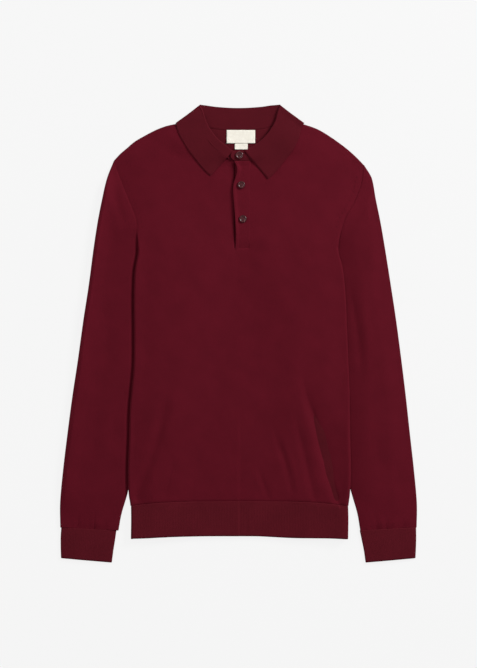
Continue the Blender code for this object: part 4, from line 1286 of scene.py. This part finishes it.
def build_cuff(side):
    """A ribbed cuff, as a flattened tube."""
    sign = SIGN[side]
    fine = np.r_[0, 0.03, np.linspace(0.12, 3, 20)]
    shares = np.linspace(0, 1, 41)
    full = CUFF_FULLNESS * np.sin(shares * pi) ** 0.6
    full = full + 0.25 * np.sin(shares * 9 + 2 * sign) * np.sin(pi * shares)
    top = RIB / 2 + RIB + 2 * SEAM + full
    bottom = np.full(len(shares), RIB / 2)
    rings = []
    for outer, inner in zip(*tube_edges(CUFF, fine, side)):
        line = outer + (inner - outer) * shares[:, None]
        rings.append(tube_ring(line, sign, top, bottom, 0.0))
    rings = np.array(rings)
    rings = np.concatenate([rings, rings[:, :1]], axis=1)
    girth = np.linalg.norm(np.diff(rings[8], axis=0), axis=1).sum()
    count = int(girth / RIB_PITCH)
    rings, reach = widen(rings, count * RIB_SAMPLES + 1)
    rings, reach = rings[:, :-1], reach[:, :-1] / reach[:, -1:]
    ribs = rib_heights(reach, count) * (1 - hem_relief(rings))
    shell("cuff_knit_" + side, rings, RIB - RIB_HEIGHT, "rib_knit", closed=True,
          up_at=(8, rings.shape[1] // 4), relief=ribs)


# ---------------------------------------------------------------- collar


def on_front(x, y, thickness):
    """Middle of a wall that lies on the front panel."""
    return front_height(x, y) + KNIT / 2 + SEAM + thickness / 2


def collar_section(seam, fold, edge, turn, edge_z, outward, lies_flat=0.0):
    """Points across the collar: up the stand, over the fold and down the fall.

    lies_flat is how far the fall drops onto the front right after the stand.
    """
    part = (turn + 90.0) / 180.0
    front_fold = FRONT_FOLD_HEIGHT["left" if fold[0] < 0 else "right"]
    height = BACK_FOLD_HEIGHT + (front_fold - BACK_FOLD_HEIGHT) * part
    angle = radians(turn)
    outward = np.array([outward[0], outward[1], 0.0])
    up = np.array([0.0, 0.0, 1.0])
    fall = cos(angle) * outward + sin(angle) * up
    crest = -sin(angle) * outward + cos(angle) * up
    centre = np.array([fold[0], fold[1], height])
    centre[:2] -= crest[:2] * (FOLD_RADIUS + COLLAR_CLOTH / 2)
    start = back_height(*seam) * (1 - part) + front_height(*seam) * part
    clear = STAND_SUNK + (STAND_CLEARANCE - STAND_SUNK) * smooth((part - 0.05) / 0.5)
    start = np.array([seam[0], seam[1], float(start) + KNIT / 2 + clear + COLLAR_CLOTH / 2])
    stand_top = centre - fall * FOLD_RADIUS
    fall_top = centre + fall * FOLD_RADIUS
    end = np.array([edge[0], edge[1], edge_z])
    points = [start + (stand_top - start) * t for t in (0, 0.5, 1)]
    points += [centre + FOLD_RADIUS * (crest * sin(a) - fall * cos(a)) for a in (pi / 3, 2 * pi / 3)]
    for t in FALL_SHARES:
        crown = FALL_CROWN * part * sin(pi * t)
        point = fall_top + (end - fall_top) * t + up * crown
        over_stand = STAND_ROOM * smooth((STAND_SHARE - t) / STAND_RUN)
        lying = on_front(point[0], point[1], COLLAR_CLOTH) + over_stand
        dropped = fall_top[2] + (lying - fall_top[2]) * smooth(t / FALL_RUN)
        point[2] += (dropped - point[2]) * lies_flat
        points.append(point)
    return np.array(points)


# How far the fall lies flat on the front at its first two sections and at those after them.
FALL_LIES_FLAT = (1.0, 0.3, 0.0)


def collar_rows(rows, side):
    """Seam, fold and edge points and the turn of each section in a collar table."""
    for row, turn in enumerate(rows["turn"]):
        yield *(np.array([rows[name + "_x"][row] * SIGN[side], rows[name + "_y"][row]])
                for name in ("seam", "fold", "edge")), turn


def collar_side(side):
    """Sections of one half of the collar, from its front end to the middle of the back."""
    flip = np.array([SIGN[side], 1.0])
    sections = []
    for row, (seam, fold, edge, turn) in enumerate(collar_rows(COLLAR_FRONT[side], side)):
        outward = (edge - fold) / np.linalg.norm(edge - fold)
        edge_z = float(on_front(edge[0], edge[1], COLLAR_CLOTH))
        lies_flat = FALL_LIES_FLAT[min(row, 2)]
        sections.append(collar_section(seam, fold, edge, turn, edge_z, outward, lies_flat))
    fold_x, fold_y, edge_x, edge_y = COLLAR_CORNER[side]
    fold, edge = np.array([fold_x, fold_y]) * flip, np.array([edge_x, edge_y]) * flip
    toward = (edge - fold) / np.linalg.norm(edge - fold)
    out = np.array([-toward[1], toward[0]]) * SIGN[side]
    for row, turn in enumerate(CORNER_TURNS):
        angle = radians(turn)
        point = edge + out * (CORNER_RADIUS * (cos(angle) - 1) - COLLAR_CLOTH / 2)
        seam = np.array([CORNER_SEAM["x"][row], CORNER_SEAM["y"][row]]) * flip
        height = CORNER_HEIGHT + CORNER_RADIUS * sin(angle)
        sections.append(collar_section(seam, fold, point, CORNER_SEAM["turn"][row], height, toward))
    for row, (seam, fold, edge, turn) in enumerate(collar_rows(COLLAR_BACK, side)):
        outward = (edge - fold) / np.linalg.norm(edge - fold) if row == 0 else np.array([0.0, -1.0])
        sections.append(collar_section(seam, fold, edge, turn, COLLAR_CLOTH / 2, outward))
    return np.array(sections)


COLLAR_DOWN = 6
COLLAR_ACROSS = 6


def build_collar():
    """The turn-down collar: stand and fall in one piece, folded along its fold line."""
    left, right = collar_side("left"), collar_side("right")
    grid = np.concatenate([left, right[::-1][1:]])
    fine = refine(grid, COLLAR_DOWN, COLLAR_ACROSS)
    fine[..., 2] = np.maximum(fine[..., 2], COLLAR_CLOTH / 2)
    keep = np.ones((fine.shape[0] - 1, fine.shape[1] - 1), bool)
    keep[-COLLAR_DOWN:, : STAND_CELLS * COLLAR_ACROSS] = False
    shell("collar_cloth", fine, COLLAR_CLOTH, "collar", keep, up_at=(4, fine.shape[1] - 8))


# ---------------------------------------------------------------- placket, buttons, labels


def strip(name, rows, height, thickness, finish, relief=0.0):
    """A flat strip of cloth: rows of (x, y) points, each raised by height(x, y)."""
    rows = np.asarray(rows, float)
    z = height(rows[..., 0], rows[..., 1])
    grid = np.concatenate([rows, z[..., None]], axis=2)
    return shell(name, grid, thickness, finish, up_at=(1, 1), relief=relief)


def band_height(x, y):
    """Middle of the upper placket band, whose free edge curls up a little."""
    inward = x - read(BAND_EDGE, y, "x")
    near_edge = np.where(y > BAND_CURL_FOOT, smooth(1 - inward / BAND_CURL_RUN), 1.0)
    curl = read(BAND_EDGE, y, "curl") * near_edge
    foot = smooth((y - BAND_FOOT) / BAND_END)
    sunk = BAND_SEAM_DIP * smooth((x - BAND_RIGHT + BAND_SEAM_RUN) / BAND_SEAM_RUN)
    raised = LAYER + BAND_FOOT_SUNK + curl + BAND_TILT * (BAND_RIGHT - x)
    return front_base(np.maximum(x, SLOT_LEFT), y) - BAND_FOOT_SUNK + raised * foot - sunk


def underlap_height(x, y):
    """Middle of the underlap, level with the front panel."""
    by_slit = smooth((UNDERLAP_DIP_RIGHT - x) / UNDERLAP_DIP_RUN)
    by_foot = smooth((UNDERLAP_DIP_TOP - y) / UNDERLAP_DIP_FALL)
    return front_base(x, np.minimum(y, NECK_SEAM)) - UNDERLAP_DIP * np.maximum(by_slit, by_foot)


def tab_height(x, y):
    """Middle of the neckband's rounded end."""
    level = front_base(x, np.minimum(y, NECK_SEAM + TAB_ABOVE_SEAM))
    raised = TAB_RAISE * smooth((TAB_RAISE_RIGHT - x) / TAB_RAISE_RUN)
    return level + KNIT / 2 + SEAM + COLLAR_CLOTH / 2 + raised


# The band's turned free edge: its height, its width, its slope and the groove beside it.
TURNED_EDGE = 0.35
TURNED_WIDTH = 4.8
TURNED_RUN = 1.2
TURNED_GROOVE = 0.15


def build_placket():
    """The upper band, the underlap in the slot below it, and the neckband's rounded end."""
    levels = np.linspace(BAND_FOOT, NECK_SEAM - SEAM, 70)
    shares = np.r_[0, 0.03, 0.07, np.linspace(0.12, 1, 24)]
    edge = read(BAND_EDGE, levels, "x")
    rows = [[(e + (BAND_RIGHT - e) * s, y) for s in shares] for e, y in zip(edge, levels)]
    reach = np.array(rows)[..., 0] - edge[:, None]
    groove = TURNED_GROOVE * np.exp(-(((reach - TURNED_WIDTH - 0.4) / 0.8) ** 2))
    turned_edge = TURNED_EDGE * smooth((TURNED_WIDTH - reach) / TURNED_RUN) - groove
    strip("band_cloth", rows, band_height, KNIT, "knit", relief=turned_edge)
    levels = np.linspace(FOLD_TOP + 2 * SEAM, UNDERLAP_TOP, 60)
    across = np.linspace(SLOT_LEFT + UNDERLAP_SIDE, SLOT_RIGHT - UNDERLAP_SIDE, 10)
    rows = [[(x, y) for x in across] for y in levels]
    strip("underlap_cloth", rows, underlap_height, KNIT, "knit")
    columns = []
    for t in np.linspace(0, 1, 41):
        x = TAB_LEFT + (TAB_RIGHT - TAB_LEFT) * t**1.6
        rounding = 1 - np.sqrt(max(0.0, 1 - (1 - min((x - TAB_LEFT) / TAB_ROUND, 1)) ** 2))
        top = TAB_TOP - rounding * TAB_TOP_CORNER - TAB_SLOPE * max(0.0, x - TAB_SLOPE_START)
        foot = NECK_SEAM + SEAM + rounding * TAB_FOOT_CORNER
        columns.append([(x, foot + (top - foot) * s) for s in np.linspace(0, 1, 13)])
    rows = np.array(columns).swapaxes(0, 1)
    strip("tab_cloth", rows, tab_height, COLLAR_CLOTH, "collar")


# Radius and height up a button's section, foot first.
BUTTON_OUTLINE = (
    (0.0, 0.0), (3.4, 0.0), (4.7, 0.12), (5.55, 0.5), (6.0, 1.05), (6.1, 1.6), (5.95, 2.1), (5.6, 2.45),
    (5.15, 2.6), (4.7, 2.55), (4.3, 2.25), (4.0, 1.95), (3.4, 1.78), (2.4, 1.68), (0.0, 1.62),
)
BUTTON_SEGMENTS = 72
# Tilt of each button in degrees, and its turn about its own axis.
BUTTON_TILT = {"button_1": (1.5, 8), "button_2": (-1.0, 52), "button_3": (1.0, 31)}
HOLE_CIRCLE = 1.35
HOLE_RADIUS = 0.55
HOLE_SEGMENTS = 20
DRILL_LENGTH = 12.0
THREAD_RADIUS = 0.33


def button_floor(x, y):
    """Level of the cloth's top under a button."""
    if y > NECK_SEAM:
        return float(tab_height(x, y)) + COLLAR_CLOTH / 2
    return float(band_height(x, y)) + KNIT / 2


def lathe(name, outline, segments):
    """A closed turned mesh on the Z axis. outline holds (radius, height) pairs, foot first."""
    shape = bmesh.new()
    rings = []
    for radius, height in outline:
        if radius == 0:
            rings.append([shape.verts.new((0, 0, height * MM))] * segments)
            continue
        angles = [2 * pi * k / segments for k in range(segments)]
        places = [(radius * cos(a) * MM, radius * sin(a) * MM, height * MM) for a in angles]
        rings.append([shape.verts.new(place) for place in places])
    skin(shape, rings)
    return finish_shape(shape, bpy.data.meshes.new(name))


def skin(shape, rings):
    """Faces between each ring of a bmesh's points and the next."""
    for low, high in zip(rings, rings[1:]):
        for k in range(len(low)):
            after = (k + 1) % len(low)
            shape.faces.new(list(dict.fromkeys((low[k], low[after], high[after], high[k]))))


def cut_holes(mesh):
    """The mesh with the button's four thread holes cut through."""
    shape = bmesh.new()
    for k in range(4):
        angle = pi / 4 + k * pi / 2
        place = Matrix.Translation((HOLE_CIRCLE * cos(angle) * MM, HOLE_CIRCLE * sin(angle) * MM, 0.0))
        bmesh.ops.create_cone(shape, cap_ends=True, segments=HOLE_SEGMENTS, radius1=HOLE_RADIUS * MM,
                              radius2=HOLE_RADIUS * MM, depth=DRILL_LENGTH * MM, matrix=place)
    drill = finish_shape(shape, bpy.data.meshes.new("button_drill"))
    body = bpy.data.objects.new("button_blank", mesh)
    cutter = bpy.data.objects.new("button_drill", drill)
    for each in (body, cutter):
        bpy.context.scene.collection.objects.link(each)
    cut = body.modifiers.new("holes", "BOOLEAN")
    cut.operation = "DIFFERENCE"
    cut.object = cutter
    bpy.context.view_layer.update()
    result = bpy.data.meshes.new_from_object(body.evaluated_get(bpy.context.evaluated_depsgraph_get()))
    for each in (body, cutter):
        bpy.data.objects.remove(each)
    return result


def build_buttons():
    """Four-hole buttons, each with its thread."""
    blank = cut_holes(lathe("button_blank", BUTTON_OUTLINE, BUTTON_SEGMENTS))
    for name, (x, y) in BUTTONS.items():
        middle = Vector((x, y, button_floor(x, y) + BUTTON_SHANK))
        tilt, turn = (radians(angle) for angle in BUTTON_TILT[name])
        tilted = Matrix.Rotation(tilt, 4, "X") @ Matrix.Rotation(turn, 4, "Z")
        place = Matrix.Translation((middle - Vector(FOOTPRINT)) * MM) @ tilted
        mesh = blank.copy()
        mesh.transform(place)
        made = add_object(name + "_resin", mesh, "button", angle=40)
        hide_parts(name)
        thread = thread_stitches(name + "_thread", place)


def thread_stitches(name, place):
    """Two parallel stitches of thread between the holes, down through the button into the cloth."""
    shape = bmesh.new()
    hole = HOLE_CIRCLE * sin(pi / 4)
    section = ((-1, -1.0), (-1, 1.55), (-0.62, 1.98), (0, 2.06), (0.62, 1.98), (1, 1.55), (1, -1.0))
    for sign in SIGN.values():
        path = [(sign * hole, hole * share, height) for share, height in section]
        sweep(shape, along(path, np.linspace(0, 1, 30), curved=False), THREAD_RADIUS, 8)
    mesh = finish_shape(shape, bpy.data.meshes.new(name))
    mesh.transform(place)
    return add_object(name, mesh, "thread")


def sweep(shape, path, radius, sides):
    """A round rod along a path of points, with closed ends, into a bmesh."""
    tangents = unit(np.gradient(path, axis=0))
    reference = np.array([1.0, 0.0, 0.0]) if abs(tangents[0][0]) < 0.9 else np.array([0.0, 1.0, 0.0])
    angles = [2 * pi * k / sides for k in range(sides)]
    rings = []
    for point, tangent in zip(path, tangents):
        first = np.cross(tangent, reference)
        first /= np.linalg.norm(first)
        second = np.cross(tangent, first)
        places = [(point + radius * (first * cos(a) + second * sin(a))) * MM for a in angles]
        rings.append([shape.verts.new(place) for place in places])
    skin(shape, rings)
    shape.faces.new(rings[0][::-1])
    shape.faces.new(rings[-1])


def label_height(x, y):
    """Middle of a label that lies on the inside of the back."""
    return back_height(x, y) + KNIT / 2 + SEAM + LABEL_CLOTH / 2


# How far a label's foot stands up, and its foot's corners besides.
LABEL_CURL = 0.5
LABEL_CORNER_CURL = 0.35


def build_labels():
    """The bare neck label and the small tab under it, on the inside of the back."""
    for name, (left, right, foot, top) in LABELS.items():
        rows = [[(x, y) for x in np.linspace(left, right, 40)] for y in np.linspace(foot, top, 20)]
        made = strip(name + "_tape", rows, label_lift(left, right, foot, top), LABEL_CLOTH, "label")
        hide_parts(name)


def label_lift(left, right, foot, top):
    """Height of a label whose free edges stand up a little."""
    def height(x, y):
        across = (x - left) / (right - left)
        up = (y - foot) / (top - foot)
        corners = LABEL_CORNER_CURL * np.cos(pi * across) ** 4 * (1 - up)
        return label_height(x, y) + LABEL_CURL * (1 - up) ** 3 + corners
    return height


# ---------------------------------------------------------------- stitches


# A stitch's sections: place along it, fullness and lift, as shares of its length and width.
STITCH_PROFILE = (
    (-0.5, 0.12, -0.3), (-0.36, 0.75, 0.05), (0.0, 1.0, 0.30), (0.36, 0.75, 0.05), (0.5, 0.12, -0.3),
)
STITCH_SIDES = 6
STITCH_DEPTH = 0.42


def stitch_row(name, path, heights, pitch, length, width, finish, tilt):
    """A row of short raised stitches along a plan line. heights gives the cloth's top."""
    total = np.linalg.norm(np.diff(path, axis=0), axis=1).sum()
    count = max(2, int(total / pitch))
    centres = along(path, (np.arange(count) + 0.5) / count)
    ahead = along(path, (np.arange(count) + 0.55) / count)
    turn = radians(tilt)
    ways = unit(ahead - centres) @ np.array([[cos(turn), sin(turn)], [-sin(turn), cos(turn)]])
    asides = np.column_stack([-ways[:, 1], ways[:, 0]])
    points, quads = [], []
    for centre, way, aside, top in zip(centres, ways, asides, heights(centres[:, 0], centres[:, 1])):
        base = len(points)
        for part, full, lift in STITCH_PROFILE:
            for spot in range(STITCH_SIDES):
                angle = pi / 3 * spot
                plan = centre + way * part * length + aside * full * width / 2 * cos(angle)
                points.append([*plan, top + width * (lift + STITCH_DEPTH * full * sin(angle))])
        for ring in range(len(STITCH_PROFILE) - 1):
            for spot in range(STITCH_SIDES):
                a, b = (base + ring * STITCH_SIDES + k for k in (spot, (spot + 1) % STITCH_SIDES))
                quads.append((a, b, b + STITCH_SIDES, a + STITCH_SIDES))
        for ring in (0, len(STITCH_PROFILE) - 1):
            first = base + ring * STITCH_SIDES
            quads.append((first, first + 1, first + 2, first + 3))
            quads.append((first, first + 3, first + 4, first + 5))
    mesh = mesh_of(name, (np.array(points) - FOOTPRINT) * MM, quads)
    face_outwards(mesh)
    made = add_object(name, mesh, finish)


def front_top(x, y):
    """Top of the front panel."""
    return front_height(x, y) + KNIT / 2


def band_top(x, y):
    """Top of the placket band."""
    return band_height(x, y) + KNIT / 2


# Fashioning marks: distance in from the armhole seam, and levels of the first and the last.
MARK_INSET = 9.5
MARK_LEVELS = (262, 172, 12)


def build_stitches():
    """The linking along the neckband's end and the knitted fashioning marks by the armholes."""
    tab = np.array([(TAB_LEFT + 6, NECK_SEAM - 0.1), (TAB_RIGHT - 4, NECK_SEAM - 0.1)])
    stitch_row("tab_linking", tab, band_top, 1.5, 1.3, 0.4, "collar", 35)
    levels = np.linspace(*MARK_LEVELS)
    for side, sign in SIGN.items():
        line = np.column_stack([sign * (read(SIDE, levels, side) - MARK_INSET), levels])
        stitch_row("fashioning_marks_" + side, line, front_top, 7.6, 3.2, 1.1, "knit", 18 * sign)


# ---------------------------------------------------------------- the garment

# For each piece: its node, its slot, its flat width and length, its flat area and what it lies on.
SHEETS = {
    "front_cloth": ("front_panel", "knit", (0.512, 0.640), 0.277, ["back_cloth"]),
    "back_cloth": ("back_panel", "knit", (0.500, 0.640), 0.279,
                   ["sleeve_cloth_left", "sleeve_cloth_right"]),
    "sleeve_cloth_left": ("sleeve_left", "knit", (0.330, 0.610), 0.129, ["floor"]),
    "sleeve_cloth_right": ("sleeve_right", "knit", (0.330, 0.602), 0.127, ["floor"]),
    "hem_knit_front": ("hem_rib_front", "rib_knit", (0.484, 0.058), 0.0261, ["hem_knit_back"]),
    "hem_knit_back": ("hem_rib_back", "rib_knit", (0.464, 0.058), 0.0252, ["floor"]),
    "cuff_knit_left": ("cuff_left", "rib_knit", (0.186, 0.054), 0.0095, ["floor"]),
    "cuff_knit_right": ("cuff_right", "rib_knit", (0.186, 0.054), 0.0095, ["floor"]),
    "collar_cloth": ("collar", "rib_knit", (0.440, 0.088), 0.0290, ["front_cloth", "back_cloth"]),
    "tab_cloth": ("neckband_tab", "rib_knit", (0.035, 0.018), 0.00048, ["band_cloth"]),
    "band_cloth": ("placket_band", "knit", (0.030, 0.150), 0.0041, ["underlap_cloth"]),
    "underlap_cloth": ("placket_underlap", "knit", (0.0224, 0.158), 0.0035, ["back_cloth"]),
}


def build_garment():
    """Every piece of cloth, with the frame's parts that the pieces stand for hidden."""
    for panel in ("front", "back"):
        build_panel(panel)
    for side in SIGN:
        build_sleeve(side)
        build_cuff(side)
    build_collar()
    build_placket()
    build_buttons()
    build_stitches()
    for name, (node, slot, flat, area, rests_on) in SHEETS.items():
        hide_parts(node)
    build_labels()


# ---------------------------------------------------------------- floor, light and camera


FLOOR_HALF = 3.0
FLOOR_LEVEL = -0.0002


def build_floor():
    """A plain pale sheet of card under the garment."""
    made, tree, shader = new_material("pale_card", 0.9, Emission_Strength=0.862, Specular_IOR_Level=0.0)
    shader.inputs["Base Color"].default_value = (0.06, 0.06, 0.06, 1)
    shader.inputs["Emission Color"].default_value = (1, 1, 1, 1)
    FINISHES["card"] = made
    mesh = bpy.data.meshes.new("floor")
    corners = ((-1, -1), (1, -1), (1, 1), (-1, 1))
    points = [(x * FLOOR_HALF, y * FLOOR_HALF, FLOOR_LEVEL) for x, y in corners]
    mesh.from_pydata(points, [], [(0, 1, 2, 3)])
    mesh.materials.append(made)
    floor = bpy.data.objects.new("floor", mesh)
    bpy.context.scene.collection.objects.link(floor)


def area_light(name, place, size, power):
    """A soft square light that faces the middle of the garment."""
    light = bpy.data.lights.new(name, "AREA")
    light.size = size
    light.energy = power
    made = bpy.data.objects.new(name, light)
    made.location = place
    made.rotation_euler = (Vector((0, 0, 0)) - Vector(place)).to_track_quat("-Z", "Y").to_euler()
    bpy.context.scene.collection.objects.link(made)


# Millimetres to a pixel of the photo, its width and height, and its pixel at the tables' zero.
PIXEL = 1.65
PHOTO = (477, 668)
ORIGIN_PIXEL = (238.5, 333.0)
CAMERA_HEIGHT = 3200.0
FOCUS_HEIGHT = 6.0
SENSOR = 24.0


def build_camera():
    """A long lens straight above, framed as the photo is."""
    data = bpy.data.cameras.new("camera")
    data.sensor_fit = "VERTICAL"
    data.sensor_height = SENSOR
    data.lens = SENSOR * CAMERA_HEIGHT / (PHOTO[1] * PIXEL)
    data.clip_start = 0.1
    data.clip_end = 20.0
    camera = bpy.data.objects.new("camera", data)
    x = (PHOTO[0] / 2 - ORIGIN_PIXEL[0]) * PIXEL - FOOTPRINT[0]
    y = (ORIGIN_PIXEL[1] - PHOTO[1] / 2) * PIXEL - FOOTPRINT[1]
    camera.location = Vector((x, y, CAMERA_HEIGHT + FOCUS_HEIGHT)) * MM
    bpy.context.scene.collection.objects.link(camera)
    bpy.context.scene.camera = camera


# Place in metres, size and power of each light, and the strength of the daylight around.
LIGHTS = {
    "key": ((2.38, 1.76, 1.56), 1.0, 127),
    "fill": ((-2.1, 0.5, 1.1), 1.3, 10),
    "glint": ((-1.0, 1.5, 2.3), 0.1, 15),
}
DAYLIGHT = 0.30


def build_light():
    """A key light low from the upper right, weaker ones from the left, and even daylight."""
    for name, light in LIGHTS.items():
        area_light(name, *light)
    world = bpy.data.worlds.new("daylight")
    world.use_nodes = True
    background = world.node_tree.nodes["Background"]
    background.inputs["Color"].default_value = (1, 1, 1, 1)
    background.inputs["Strength"].default_value = DAYLIGHT
    bpy.context.scene.world = world
    bpy.context.scene.view_settings.view_transform = "Standard"


build_floor()
build_camera()
build_light()
build_garment()
